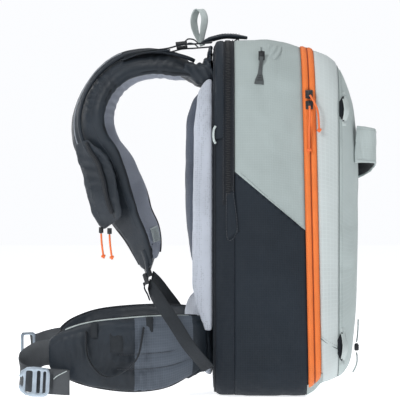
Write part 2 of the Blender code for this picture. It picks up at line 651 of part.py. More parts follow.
# ---- lid trim ----------------------------------------------------------------------------
def make_lid_trim():
    pale = material("pale_webbing", (0.5, 0.58, 0.57), 0.7)
    fabric = material("pale_fabric", PALE)
    black = material("black_plastic", BLACK, 0.5)
    grey = material("grey_cord", (0.42, 0.49, 0.49), 0.7)
    for place, z0, z1, x0 in (("upper", 0.445, 0.408, 0.1165), ("lower", 0.096, 0.054, 0.1145)):
        points = []
        for step in range(7):
            swell = math.sin(math.pi * step / 6)
            z = z0 + (z1 - z0) * step / 6
            points.append((x0 + 0.0025 * swell, surface_y(x0, z) - 0.0038 - 0.0095 * swell, z))
        ribbon(f"ski_loop_{place}", points, ((0, 0.010), (0.5, 0.014), (1, 0.010)), 0.0014,
               (0.62, 0.78, 0), pale, 11)
    ribbon("ski_band", [(0.1335, -0.1135, 0.3740), (0.1420, -0.1060, 0.3735), (0.1550, -0.0930, 0.3720),
                        (0.1630, -0.0720, 0.3690), (0.1662, -0.0400, 0.3650), (0.1662, 0.0, 0.3600),
                        (0.1650, 0.0400, 0.3550), (0.1590, 0.0720, 0.3500), (0.1470, 0.0960, 0.3460),
                        (0.1355, 0.1105, 0.3430)],
           ((0, 0.054), (0.5, 0.052), (1, 0.054)), 0.0024, (0, 0, 1), fabric, 20)
    box("tie_lock", (0.1365, -0.0440, 0.0610), (0.1435, -0.0330, 0.0725), black, 0.0012, 1)
    y = -0.0385
    cord("tie_cord_upper", [(0.1400, y, 0.0745), (0.1412, y + 0.001, 0.0820), (0.1420, y + 0.003, 0.0900),
                            (0.1424, y + 0.002, 0.0980), (0.1424, y - 0.002, 0.1090)], 0.0025, grey)
    cord("tie_cord_lower", [(0.1400, y, 0.0590), (0.1408, y - 0.001, 0.0520), (0.1405, y - 0.002, 0.0440),
                            (0.1380, y - 0.001, 0.0360), (0.1345, y + 0.001, 0.0290)], 0.0025, grey)


# ---- moving pieces ----------------------------------------------------------------------
def hang(name, place, nodes, parent=None):
    """An empty on a joint's axis, which the pieces that move together hang from."""
    empty = bpy.data.objects.new(name, None)
    PARTS.objects.link(empty)
    empty.location = Vector(place) - (parent.location if parent else Vector())
    empty.parent = parent
    for node in nodes:
        piece = bpy.data.objects[node]
        piece.parent = empty
        piece.matrix_parent_inverse = Matrix.Translation(-Vector(place))
    return empty


def hang_moving_parts():
    hang("lid_hinge", LID_HINGE, ["lid_gusset", "main_zip_tape_lid", "front_panel", "ski_band",
                                  "ski_loop_upper", "ski_loop_lower", "tie_lock", "tie_cord_upper",
                                  "tie_cord_lower"])
    hang("lower_slider_travel", MAIN_SLIDERS["lower"], ["main_slider_lower", "main_pull_lower"])
    hang("upper_slider_travel", MAIN_SLIDERS["upper"], ["main_slider_upper", "main_pull_upper"])
    x, y, z = SIDE_SLIDER
    hang("side_slider_travel", SIDE_SLIDER, ["side_slider"])
    hang("side_pull_swing", (x, y - 0.0047, z), ["side_pull"])
    hang("hang_loop_flop", (-0.0930, 0.0, 0.5262), ["hang_loop"])
    hang("blower_spin", FAN, ["blower_wheel"])
    hang("power_press", (-0.0491, -0.0790, 0.1760), ["power_button"])

    for side, sign in (("left", -1), ("right", 1)):
        foot = (ANCHOR[0], sign * (STRAP_LOW_Y + 0.022), ANCHOR[1])
        strap = hang(f"strap_{side}_swing", foot, [f"shoulder_pad_{side}", f"ladder_lock_{side}",
                                                   f"lower_webbing_{side}", f"load_lifter_{side}",
                                                   f"lifter_buckle_{side}"])
        hinge = (WING_HINGE[0], sign * WING_HINGE[1], WING_HINGE[2])
        wing = hang(f"hip_fold_{side}", hinge, [f"hip_wing_{side}", f"hip_webbing_{side}"])
        if side == "left":
            for node in ("trigger_pocket", "trigger_cable"):
                bpy.data.objects[node].parent = strap
                bpy.data.objects[node].matrix_parent_inverse = Matrix.Translation(-Vector(foot))
            hang("trigger_pull", strap_off(0.66, -1, 0.0172), ["trigger_handle"], strap)
            for k, place in enumerate(POCKET_SLIDERS):
                hang(f"pocket_slider_{k + 1}_travel", place,
                     [f"pocket_slider_{k + 1}", f"pocket_pull_{k + 1}"], strap)
            bpy.data.objects["gear_loop"].parent = wing
            bpy.data.objects["gear_loop"].matrix_parent_inverse = Matrix.Translation(-Vector(hinge))
            hang("buckle_tilt", (-0.3190, HOOK_Y - 0.0400, 0.0265), ["hook_buckle"], wing)
        else:
            hang("ring_tilt", (-0.3545, -HOOK_Y - 0.0115, 0.0560), ["catch_ring"], wing)


clear_scene()
PARTS = collection("ski_backpack")
GUIDES = collection("cutters")
make_bag()
make_inside()
make_back()
make_sliders()
make_straps()
make_belt()
make_lid_trim()
hang_moving_parts()
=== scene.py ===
# %% [markdown]
# This file dresses a finished mechanical model of a ski backpack. The model, called the frame
# here, already holds every part in its true place, in metres: +Z is up, the front panel faces
# +X, and the wearer's left side faces -Y. Each cell below makes one piece or one finish, and
# hangs it on the moving body that it belongs to.

# %% Load the frame
import math

import bmesh
import bpy
import numpy as np
from mathutils import Matrix, Vector, noise
from mathutils.bvhtree import BVHTree


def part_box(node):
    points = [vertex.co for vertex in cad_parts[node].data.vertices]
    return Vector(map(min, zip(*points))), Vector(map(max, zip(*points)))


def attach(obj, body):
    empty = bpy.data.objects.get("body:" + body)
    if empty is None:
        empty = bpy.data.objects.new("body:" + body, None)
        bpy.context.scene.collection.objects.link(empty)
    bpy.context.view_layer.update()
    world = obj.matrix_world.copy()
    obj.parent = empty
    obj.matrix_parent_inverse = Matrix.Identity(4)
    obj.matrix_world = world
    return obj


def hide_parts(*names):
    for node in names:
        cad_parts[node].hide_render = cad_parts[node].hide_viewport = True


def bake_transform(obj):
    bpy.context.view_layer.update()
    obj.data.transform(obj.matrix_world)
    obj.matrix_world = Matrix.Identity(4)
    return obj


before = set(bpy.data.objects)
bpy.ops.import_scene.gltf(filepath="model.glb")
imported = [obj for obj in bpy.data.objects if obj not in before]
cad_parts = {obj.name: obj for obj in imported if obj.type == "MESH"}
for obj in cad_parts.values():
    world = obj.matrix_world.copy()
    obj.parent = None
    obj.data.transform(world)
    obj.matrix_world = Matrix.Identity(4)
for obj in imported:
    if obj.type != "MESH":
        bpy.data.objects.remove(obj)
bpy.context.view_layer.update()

# %% [markdown]
# A product picture needs a long lens: it keeps the near and the far strap at nearly one size.
# The camera looks straight at the wearer's left side from well over three metres, and the world
# is an even white, as in a light tent. The backdrop is a stop brighter than the light it gives.

# %% Camera, floor and light
AIM = Vector((-0.0975, 0.0, 0.2895))
DISTANCE = 3.6
RISE = math.radians(1.0)
scene = bpy.context.scene
camera_data = bpy.data.cameras.new("studio_camera")
camera_data.lens = 211.5
camera_data.sensor_width = 36.0
camera = bpy.data.objects.new("studio_camera", camera_data)
scene.collection.objects.link(camera)
camera.location = AIM + Vector((0.0, -DISTANCE * math.cos(RISE), DISTANCE * math.sin(RISE)))
camera.rotation_euler = (AIM - camera.location).to_track_quat("-Z", "Y").to_euler()
scene.camera = camera

world = bpy.data.worlds.new("light_tent")
world.use_nodes = True
backdrop = world.node_tree.nodes["Background"]
backdrop.inputs["Color"].default_value = (0.97, 0.98, 1.0, 1.0)
rays = world.node_tree.nodes.new("ShaderNodeLightPath")
level = world.node_tree.nodes.new("ShaderNodeMapRange")
level.inputs["To Min"].default_value = 0.27
level.inputs["To Max"].default_value = 1.0
world.node_tree.links.new(rays.outputs["Is Camera Ray"], level.inputs["Value"])
world.node_tree.links.new(level.outputs["Result"], backdrop.inputs["Strength"])
scene.world = world
scene.view_settings.view_transform = "Standard"


def soft_light(name, place, size, power, colour=(1.0, 1.0, 1.0)):
    """A large square lamp aimed at the pack: the larger it is, the softer its shadows."""
    data = bpy.data.lights.new(name, "AREA")
    data.size = size
    data.energy = power
    data.color = colour
    lamp = bpy.data.objects.new(name, data)
    scene.collection.objects.link(lamp)
    lamp.location = place
    lamp.rotation_euler = (AIM - Vector(place)).to_track_quat("-Z", "Y").to_euler()
    return lamp


soft_light("key_light", (-1.7, -1.8, 2.1), 0.7, 42.0)
soft_light("fill_light", (1.9, -1.5, 0.9), 1.4, 7.0)
soft_light("top_light", (0.1, 0.3, 2.4), 1.2, 16.0)
soft_light("rim_light", (-1.8, 1.3, 0.8), 1.0, 16.0)

floor_mesh = bpy.data.meshes.new("floor")
floor_mesh.from_pydata([(-6, -6, 0), (6, -6, 0), (6, 6, 0), (-6, 6, 0)], [], [(0, 1, 2, 3)])
floor = bpy.data.objects.new("floor", floor_mesh)
floor.location.z = -0.0006
scene.collection.objects.link(floor)
floor_paint = bpy.data.materials.new("floor_paint")
floor_paint.use_nodes = True
floor_shader = floor_paint.node_tree.nodes["Principled BSDF"]
floor_shader.inputs["Base Color"].default_value = (0.90, 0.905, 0.91, 1.0)
floor_shader.inputs["Roughness"].default_value = 0.75
floor_shader.inputs["Emission Color"].default_value = (0.97, 0.98, 1.0, 1.0)
floor_shader.inputs["Emission Strength"].default_value = 0.76
floor_mesh.materials.append(floor_paint)
print("camera", tuple(round(v, 3) for v in camera.location))

# %% [markdown]
# Every finish on this pack is a woven or moulded surface with its own grain, so the grain comes
# first. A node group is a small recipe with named inputs: each material below calls the same
# recipe with its own thread size. These recipes only give heights and masks; the shader that
# turns them into cloth or plastic stays in the material.


# %% Shader recipes
class Recipe:
    """A node tree being built: new nodes, sums on values, and links, with short names."""

    def __init__(self, tree):
        self.tree = tree

    def node(self, kind, **inputs):
        made = self.tree.nodes.new(kind)
        for key, value in inputs.items():
            self.set(made.inputs[key.replace("_", " ")], value)
        return made

    def set(self, socket, value):
        if isinstance(value, bpy.types.NodeSocket):
            self.tree.links.new(value, socket)
        else:
            socket.default_value = value

    def math(self, operation, *values):
        made = self.tree.nodes.new("ShaderNodeMath")
        made.operation = operation
        for socket, value in zip(made.inputs, values):
            self.set(socket, value)
        return made.outputs[0]

    def smooth(self, value, low, high):
        made = self.tree.nodes.new("ShaderNodeMapRange")
        made.interpolation_type = "SMOOTHSTEP"
        for key, number in (("Value", value), ("From Min", low), ("From Max", high)):
            self.set(made.inputs[key], number)
        return made.outputs["Result"]

    def mix(self, share, one, two):
        made = self.tree.nodes.new("ShaderNodeMix")
        made.data_type = "RGBA"
        self.set(made.inputs["Factor"], share)
        self.set(made.inputs["A"], one)
        self.set(made.inputs["B"], two)
        return made.outputs["Result"]


def new_recipe(name, inputs, outputs):
    tree = bpy.data.node_groups.new(name, "ShaderNodeTree")
    for key, kind, value in inputs:
        socket = tree.interface.new_socket(key, in_out="INPUT", socket_type=kind)
        if value is not None:
            socket.default_value = value
    for key, kind in outputs:
        tree.interface.new_socket(key, in_out="OUTPUT", socket_type=kind)
    recipe = Recipe(tree)
    return recipe, tree.nodes.new("NodeGroupInput").outputs, tree.nodes.new("NodeGroupOutput").inputs


FLOAT, VECTOR = "NodeSocketFloat", "NodeSocketVector"

# threads of a plain weave, with a thicker thread every few millimetres that stops a tear
r, given, result = new_recipe("ripstop", [("Vector", VECTOR, None), ("Thread", FLOAT, 0.0007),
                                          ("Grid", FLOAT, 0.0045)],
                              [("Height", FLOAT), ("Line", FLOAT)])
parts = r.node("ShaderNodeSeparateXYZ", Vector=given["Vector"]).outputs
waves = []
lines = []
for axis in (parts["X"], parts["Y"]):
    thread = r.math("MULTIPLY", r.math("DIVIDE", axis, given["Thread"]), math.pi)
    waves.append(r.math("ABSOLUTE", r.math("SINE", thread)))
    across = r.math("MULTIPLY", r.math("DIVIDE", axis, given["Grid"]), math.tau)
    lines.append(r.smooth(r.math("COSINE", across), 0.72, 0.98))
line = r.math("MAXIMUM", *lines)
r.set(result["Line"], line)
r.set(result["Height"], r.math("ADD", r.math("MULTIPLY", r.math("ADD", *waves), 0.25),
                               r.math("MULTIPLY", line, 0.5)))

# webbing: fine ribs along its length, crossed by a herringbone
r, given, result = new_recipe("webbing_ribs", [("Vector", VECTOR, None), ("Rib", FLOAT, 0.0011)],
                              [("Height", FLOAT), ("Groove", FLOAT)])
parts = r.node("ShaderNodeSeparateXYZ", Vector=given["Vector"]).outputs
rib = r.math("MULTIPLY", r.math("DIVIDE", parts["X"], given["Rib"]), math.pi)
slant = r.math("ADD", parts["Y"], r.math("MULTIPLY", r.math("ABSOLUTE", r.math("SINE", rib)), 0.0006))
pick = r.math("MULTIPLY", r.math("DIVIDE", slant, given["Rib"]), math.tau)
height = r.math("ADD", r.math("MULTIPLY", r.math("ABSOLUTE", r.math("SINE", rib)), 0.6),
                r.math("MULTIPLY", r.math("SINE", pick), 0.25))
r.set(result["Height"], height)
r.set(result["Groove"], r.smooth(height, 0.25, 0.0))

# knitted spacer mesh: round holes in a soft, open face
r, given, result = new_recipe("air_mesh", [("Vector", VECTOR, None), ("Hole", FLOAT, 0.0032)],
                              [("Height", FLOAT), ("Hole", FLOAT)])
cells = r.node("ShaderNodeTexVoronoi")
r.set(cells.inputs["Vector"], given["Vector"])
r.set(cells.inputs["Scale"], r.math("DIVIDE", 1.0, given["Hole"]))
r.set(cells.inputs["Randomness"], 0.35)
hole = r.smooth(cells.outputs["Distance"], 0.42, 0.18)
r.set(result["Hole"], hole)
r.set(result["Height"], r.math("SUBTRACT", 1.0, hole))

# cloud: slow and fast blotches, for dye, dust and handling marks
r, given, result = new_recipe("cloud", [("Vector", VECTOR, None), ("Size", FLOAT, 0.05)],
                              [("Slow", FLOAT), ("Fast", FLOAT)])
for key, times, detail in (("Slow", 1.0, 3.0), ("Fast", 14.0, 2.0)):
    clouds = r.node("ShaderNodeTexNoise")
    r.set(clouds.inputs["Vector"], given["Vector"])
    r.set(clouds.inputs["Scale"], r.math("DIVIDE", times, given["Size"]))
    r.set(clouds.inputs["Detail"], detail)
    r.set(result[key], r.smooth(clouds.outputs["Fac"], 0.3, 0.7))

# edge wear: bright rims where two faces meet, broken up by scratches
r, given, result = new_recipe("edge_wear", [("Vector", VECTOR, None), ("Width", FLOAT, 0.0006),
                                            ("Normal", VECTOR, None)], [("Mask", FLOAT)])
rounded_edge = r.node("ShaderNodeBevel")
rounded_edge.samples = 4
r.set(rounded_edge.inputs["Radius"], given["Width"])
turned = r.tree.nodes.new("ShaderNodeVectorMath")
turned.operation = "DOT_PRODUCT"
r.set(turned.inputs[0], rounded_edge.outputs["Normal"])
r.set(turned.inputs[1], given["Normal"])
scratches = r.node("ShaderNodeTexNoise")
r.set(scratches.inputs["Vector"], given["Vector"])
r.set(scratches.inputs["Scale"], 700.0)
bent = r.smooth(turned.outputs["Value"], 0.995, 0.90)
r.set(result["Mask"], r.math("MULTIPLY", bent, r.smooth(scratches.outputs["Fac"], 0.35, 0.6)))
print("recipes:", [tree.name for tree in bpy.data.node_groups])

# %% [markdown]
# Now the finishes. Cloth is a rough surface with a faint sheen, the pale fuzz that shows at a
# glancing angle. Each finish mixes two close tones by the weave and the cloud recipe, because
# real cloth is never one flat colour, and bends the light with a bump made from the same weave.


# %% Cloth finishes
def start_material(name):
    made = bpy.data.materials.new(name)
    made.use_nodes = True
    recipe = Recipe(made.node_tree)
    return made, recipe, made.node_tree.nodes["Principled BSDF"]


def call(recipe, name, **inputs):
    made = recipe.tree.nodes.new("ShaderNodeGroup")
    made.node_tree = bpy.data.node_groups[name]
    for key, value in inputs.items():
        recipe.set(made.inputs[key], value)
    return made.outputs


def shade(colour, times):
    return tuple(min(1.0, part * times) for part in colour) + (1.0,)


def place(recipe, kind):
    """Where a pattern reads its position: UV is metres along the cloth, Object is metres in space."""
    return recipe.node("ShaderNodeTexCoord").outputs[kind]


def bump(recipe, shader, height, strength, distance):
    made = recipe.node("ShaderNodeBump", Strength=strength, Distance=distance, Height=height)
    recipe.set(shader.inputs["Normal"], made.outputs["Normal"])


def ripstop_cloth(name, colour, grid=0.0036, contrast=0.10, rough=0.62, sheen=0.06, line_tone=1.0):
    made, recipe, shader = start_material(name)
    where = place(recipe, "UV")
    weave = call(recipe, "ripstop", Vector=where, Grid=grid)
    clouds = call(recipe, "cloud", Vector=place(recipe, "Object"), Size=0.09)
    base = recipe.mix(clouds["Slow"], shade(colour, 1.0 - contrast), shade(colour, 1.0 + contrast))
    woven = recipe.mix(recipe.math("MULTIPLY", weave["Line"], 0.55), base, shade(colour, line_tone))
    recipe.set(shader.inputs["Base Color"], woven)
    recipe.set(shader.inputs["Roughness"], recipe.math("ADD", rough, recipe.math("MULTIPLY", clouds["Fast"], 0.12)))
    shader.inputs["Specular IOR Level"].default_value = 0.5 if max(colour) > 0.2 else 0.24
    shader.inputs["Sheen Weight"].default_value = sheen
    shader.inputs["Sheen Roughness"].default_value = 0.4
    bump(recipe, shader, weave["Height"], 0.35, 0.0005)
    return made


def plain_cloth(name, colour, contrast=0.12, rough=0.75, sheen=0.1, grain=0.0009, depth=0.5):
    """Knitted or brushed cloth: grain in all directions, so that it needs no flat pattern."""
    made, recipe, shader = start_material(name)
    where = place(recipe, "Object")
    mesh_face = call(recipe, "air_mesh", Vector=where, Hole=grain)
    clouds = call(recipe, "cloud", Vector=where, Size=0.07)
    base = recipe.mix(clouds["Slow"], shade(colour, 1.0 - contrast), shade(colour, 1.0 + contrast))
    recipe.set(shader.inputs["Base Color"], recipe.mix(recipe.math("MULTIPLY", mesh_face["Hole"], 0.5), base,
                                                       shade(colour, 0.55)))
    recipe.set(shader.inputs["Roughness"], recipe.math("ADD", rough, recipe.math("MULTIPLY", clouds["Fast"], 0.1)))
    shader.inputs["Specular IOR Level"].default_value = 0.5 if max(colour) > 0.2 else 0.40
    shader.inputs["Sheen Weight"].default_value = sheen
    shader.inputs["Sheen Roughness"].default_value = 0.45
    bump(recipe, shader, mesh_face["Height"], depth, 0.0004)
    return made


def woven_band(name, colour, rib=0.0011, rough=0.6, contrast=0.10, depth=0.6):
    made, recipe, shader = start_material(name)
    ribs = call(recipe, "webbing_ribs", Vector=place(recipe, "UV"), Rib=rib)
    clouds = call(recipe, "cloud", Vector=place(recipe, "Object"), Size=0.03)
    base = recipe.mix(clouds["Slow"], shade(colour, 1.0 - contrast), shade(colour, 1.0 + contrast))
    recipe.set(shader.inputs["Base Color"], recipe.mix(recipe.math("MULTIPLY", ribs["Groove"], 0.6), base,
                                                       shade(colour, 0.5)))
    recipe.set(shader.inputs["Roughness"], recipe.math("ADD", rough, recipe.math("MULTIPLY", clouds["Fast"], 0.12)))
    shader.inputs["Specular IOR Level"].default_value = 0.5 if max(colour) > 0.2 else 0.25
    shader.inputs["Sheen Weight"].default_value = 0.04
    bump(recipe, shader, ribs["Height"], depth, 0.0004)
    return made


PALE = (0.345, 0.402, 0.398)
# The front panel and the ski band get a lighter copy of the pale ripstop: painted light, which makes up for the smaller
# amount of light that falls on the front.
PALE_FRONT_PAINTED_LIGHT = (0.43, 0.495, 0.49)
PALE_LIGHT = (0.52, 0.575, 0.575)
NAVY = (0.011, 0.017, 0.025)
pale_cloth = ripstop_cloth("pale_ripstop", PALE, line_tone=1.13, contrast=0.06)
front_cloth_painted_light = ripstop_cloth("front_ripstop_painted_light", PALE_FRONT_PAINTED_LIGHT, line_tone=1.12, contrast=0.05)
gusset_cloth = ripstop_cloth("gusset_ripstop", PALE_LIGHT, grid=0.0060, line_tone=1.12, contrast=0.04)
navy_cloth = ripstop_cloth("navy_ripstop", NAVY, grid=0.0034, line_tone=1.5, contrast=0.14, rough=0.5, sheen=0.04)
airbag_cloth = ripstop_cloth("rear_panel_cloth", (0.011, 0.016, 0.023), grid=0.0030, line_tone=1.5, sheen=0.03)
lining_cloth = plain_cloth("lining", (0.10, 0.11, 0.12), sheen=0.1)
pad_cloth = plain_cloth("pad_knit", (0.012, 0.019, 0.028), contrast=0.2, rough=0.46, sheen=0.05)
mesh_cloth = plain_cloth("back_mesh", (0.43, 0.465, 0.53), contrast=0.08, grain=0.0030, depth=0.8)
dark_mesh = plain_cloth("channel_mesh", (0.055, 0.062, 0.075), grain=0.0030, depth=0.8)
binding_cloth = woven_band("binding_tape", (0.010, 0.013, 0.018), rib=0.0009)
dark_band = woven_band("dark_webbing", (0.024, 0.029, 0.035))
belt_band = woven_band("belt_webbing", (0.075, 0.082, 0.090), rib=0.0016)
pale_band = woven_band("pale_webbing", (0.52, 0.585, 0.58))
orange_band = woven_band("orange_tape", (0.93, 0.215, 0.035), rib=0.0008, rough=0.5, contrast=0.05)
orange_cord_finish = woven_band("orange_cord", (0.95, 0.20, 0.05), rib=0.0008)
grey_cord_finish = woven_band("grey_cord", (0.44, 0.50, 0.50), rib=0.0008)
print("cloth finishes:", len(bpy.data.materials))

# %% [markdown]
# Buckles and zip sliders are moulded or cast. Moulded plastic has a fine pebbled skin and gets
# shiny at its edges from handling. The hip buckle is bead-blasted, anodised aluminium: metallic,
# a bluish grey, with brighter bare metal along its worn edges.


# %% Hard finishes
def moulded(name, colour, rough=0.42, grain=0.0006):
    made, recipe, shader = start_material(name)
    where = place(recipe, "Object")
    normal = recipe.node("ShaderNodeNewGeometry").outputs["Normal"]
    pebbles = call(recipe, "air_mesh", Vector=where, Hole=grain)
    clouds = call(recipe, "cloud", Vector=where, Size=0.01)
    wear = call(recipe, "edge_wear", Vector=where, Normal=normal, Width=0.0005)
    base = recipe.mix(clouds["Slow"], shade(colour, 0.85), shade(colour, 1.15))
    recipe.set(shader.inputs["Base Color"], recipe.mix(wear["Mask"], base, shade(colour, 2.2)))
    recipe.set(shader.inputs["Roughness"], recipe.math("SUBTRACT", rough + 0.1,
                                                       recipe.math("MULTIPLY", wear["Mask"], 0.2)))
    bump(recipe, shader, pebbles["Height"], 0.25, 0.0001)
    return made


def blasted_metal(name, colour, rough=0.36):
    made, recipe, shader = start_material(name)
    where = place(recipe, "Object")
    normal = recipe.node("ShaderNodeNewGeometry").outputs["Normal"]
    clouds = call(recipe, "cloud", Vector=where, Size=0.012)
    wear = call(recipe, "edge_wear", Vector=where, Normal=normal, Width=0.0007)
    base = recipe.mix(clouds["Slow"], shade(colour, 0.92), shade(colour, 1.08))
    recipe.set(shader.inputs["Base Color"], recipe.mix(wear["Mask"], base, (0.85, 0.87, 0.9, 1.0)))
    recipe.set(shader.inputs["Roughness"], recipe.math("ADD", rough, recipe.math("MULTIPLY", clouds["Fast"], 0.12)))
    shader.inputs["Metallic"].default_value = 1.0
    bump(recipe, shader, clouds["Fast"], 0.15, 0.0001)
    return made


black_plastic = moulded("black_plastic", (0.018, 0.020, 0.023))
grey_rubber = moulded("grey_rubber", (0.065, 0.075, 0.078), rough=0.6)
case_plastic = moulded("case_plastic", (0.05, 0.052, 0.056), rough=0.5)
buckle_metal = blasted_metal("buckle_metal", (0.42, 0.49, 0.56))
stay_metal = blasted_metal("stay_metal", (0.62, 0.63, 0.65))
print("all finishes:", len(bpy.data.materials))

# %% [markdown]
# Sewn things are made of strips, tubes and closed pads that follow a line. So the next cell holds
# a maker's few basic moves: draw a smooth line through given points, carry a cross-section
# along it, and skin the rows of points with quads. The skin also gets UVs in real metres, so a
# weave comes out at one scale on every piece, however it is cut.


# %% Lines and skins
def smooth_line(points, count):
    """Evenly spread points of a smooth curve through the given ones (Catmull-Rom)."""
    knots = np.array(points, float)
    knots = np.vstack([2 * knots[0] - knots[1], knots, 2 * knots[-1] - knots[-2]])
    fine = []
    for a, b, c, d in zip(knots, knots[1:], knots[2:], knots[3:]):
        for t in np.arange(16) / 16:
            fine.append(0.5 * (2 * b + (c - a) * t + (2 * a - 5 * b + 4 * c - d) * t * t
                               + (3 * b - a - 3 * c + d) * t ** 3))
    fine.append(knots[-2])
    fine = np.array(fine)
    along = np.concatenate([[0.0], np.cumsum(np.linalg.norm(np.diff(fine, axis=0), axis=1))])
    wanted = np.linspace(0.0, along[-1], count)
    return np.stack([np.interp(wanted, along, fine[:, k]) for k in range(3)], axis=1)


def unit(vectors):
    vectors = np.asarray(vectors, float)
    return vectors / np.maximum(np.linalg.norm(vectors, axis=-1, keepdims=True), 1e-12)


def headings(path):
    return unit(np.gradient(path, axis=0))


def at(value, t):
    """A value at 0..1 along a piece: one number, or pairs of (place, value)."""
    if isinstance(value, (int, float)):
        return value
    return float(np.interp(t, [v[0] for v in value], [v[1] for v in value]))


def step_up(value, low, high):
    t = np.clip((np.asarray(value, float) - low) / (high - low), 0.0, 1.0)
    return t * t * (3 - 2 * t)


def new_piece(name, points, faces, uvs=None, smooth=True):
    mesh = bpy.data.meshes.new(name)
    mesh.from_pydata([tuple(p) for p in points], [], faces)
    if uvs is not None:
        layer = mesh.uv_layers.new(name="metres")
        layer.data.foreach_set("uv", np.asarray(uvs, np.float32).ravel())
    if smooth:
        mesh.shade_smooth()
    piece = bpy.data.objects.new(name, mesh)
    scene.collection.objects.link(piece)
    return piece


def skin(name, rows, closed=True, ends=True, turn=False):
    """Quads between equal rows of points. closed joins each row to its start; ends caps the tube."""
    rows = np.asarray(rows, float)
    count, wide = rows.shape[:2]
    looped = np.concatenate([rows, rows[:, :1]], axis=1) if closed else rows
    across = np.linalg.norm(np.diff(looped, axis=1), axis=2).mean(axis=0)
    u = np.concatenate([[0.0], np.cumsum(across)])
    v = np.concatenate([[0.0], np.cumsum(np.linalg.norm(np.diff(rows, axis=0), axis=2).mean(axis=1))])
    points = list(rows.reshape(-1, 3))
    faces, uvs = [], []
    for r in range(count - 1):
        for c in range(wide if closed else wide - 1):
            d = (c + 1) % wide
            quad = [(r * wide + c, u[c], v[r]), (r * wide + d, u[c + 1], v[r]),
                    ((r + 1) * wide + d, u[c + 1], v[r + 1]), ((r + 1) * wide + c, u[c], v[r + 1])]
            quad = quad[::-1] if turn else quad
            faces.append([q[0] for q in quad])
            uvs += [q[1:] for q in quad]
    if ends and closed:
        for r, back in ((0, True), (count - 1, False)):
            middle = len(points)
            points.append(rows[r].mean(axis=0))
            for c in range(wide):
                d = (c + 1) % wide
                tri = [(r * wide + c, u[c], v[r]), (r * wide + d, u[c + 1], v[r]), (middle, u[c], v[r])]
                tri = tri[::-1] if back != turn else tri
                faces.append([q[0] for q in tri])
                uvs += [q[1:] for q in tri]
    return new_piece(name, points, faces, uvs)


def frame_line(path, across):
    """At each point of a line: the way its width runs, and the way out of its flat face."""
    ways = headings(path)
    if callable(across):
        side = np.array([across(t) for t in np.linspace(0, 1, len(path))], float)
    else:
        side = np.tile(np.array(across, float), (len(path), 1))
    side = unit(side - ways * np.sum(side * ways, axis=1, keepdims=True))
    return side, np.cross(ways, side)


def strip(name, points, width, thick, across, count=40, edge=0.35):
    """Flat webbing along a smooth line, with soft edges."""
    path = smooth_line(points, count)
    side, out = frame_line(path, across)
    rows = []
    for i, t in enumerate(np.linspace(0, 1, count)):
        w, h = at(width, t) / 2, at(thick, t) / 2
        flat = [(1 - edge * h / w, 1), (0.33, 1), (-0.33, 1), (-1 + edge * h / w, 1), (-1, 0.35),
                (-1, -0.35), (-1 + edge * h / w, -1), (-0.33, -1), (0.33, -1), (1 - edge * h / w, -1),
                (1, -0.35), (1, 0.35)]
        rows.append([path[i] + side[i] * a * w + out[i] * b * h for a, b in flat])
    return skin(name, rows)


def tube(name, path, radius, sides=10):
    """A round tube along ready-made points; radius may vary along it."""
    path = np.asarray(path, float)
    ways = headings(path)
    start = np.cross(ways[0], (0.31, 0.95, 0.05))
    side = unit(start)
    angles = np.linspace(0, math.tau, sides, endpoint=False)
    rows = []
    for i, way in enumerate(ways):
        side = unit(side - way * np.dot(side, way))
        up = np.cross(way, side)
        r = at(radius, i / (len(path) - 1))
        rows.append([path[i] + r * (math.cos(a) * side + math.sin(a) * up) for a in angles])
    return skin(name, rows)


def dress(piece, finish, body="pack", stands_for=()):
    """Give a piece its finish and the body that carries it, and hide the parts it stands for."""
    piece.data.materials.clear()
    piece.data.materials.append(finish)
    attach(piece, body)
    if stands_for:
        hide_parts(*stands_for)
    return piece


def refine(piece, levels=1):
    rounder = piece.modifiers.new("rounder", "SUBSURF")
    rounder.levels = levels
    rounder.render_levels = levels
    return piece


def join(name, pieces):
    """Several small meshes as one piece."""
    points, faces, uvs, start = [], [], [], 0
    for piece in pieces:
        mesh = piece.data
        points += [piece.matrix_world @ v.co for v in mesh.vertices]
        faces += [[start + i for i in poly.vertices] for poly in mesh.polygons]
        uvs += [tuple(loop.uv) for loop in mesh.uv_layers[0].data] if mesh.uv_layers else \
            [(0.0, 0.0)] * len(mesh.loops)
        start += len(mesh.vertices)
        bpy.data.objects.remove(piece)
    return new_piece(name, points, faces, uvs)


def block(name, centre, size, axes=((1, 0, 0), (0, 1, 0), (0, 0, 1)), bevel=0.0, segments=2):
    """A box with rounded edges, on three given axes."""
    bm = bmesh.new()
    bmesh.ops.create_cube(bm, size=1.0)
    for vert in bm.verts:
        vert.co = [vert.co[k] * size[k] for k in range(3)]
    if bevel:
        bmesh.ops.bevel(bm, geom=bm.edges[:], offset=bevel, segments=segments, profile=0.6,
                        affect="EDGES")
    turn = Matrix([[axes[k][row] for k in range(3)] for row in range(3)])
    for vert in bm.verts:
        vert.co = turn @ vert.co + Vector(centre)
    bmesh.ops.recalc_face_normals(bm, faces=bm.faces)
    mesh = bpy.data.meshes.new(name)
    bm.to_mesh(mesh)
    bm.free()
    mesh.uv_layers.new(name="metres")
    mesh.shade_smooth()
    mesh.set_sharp_from_angle(angle=math.radians(40))
    piece = bpy.data.objects.new(name, mesh)
    scene.collection.objects.link(piece)
    return piece


THREAD_PITCH = 0.0042


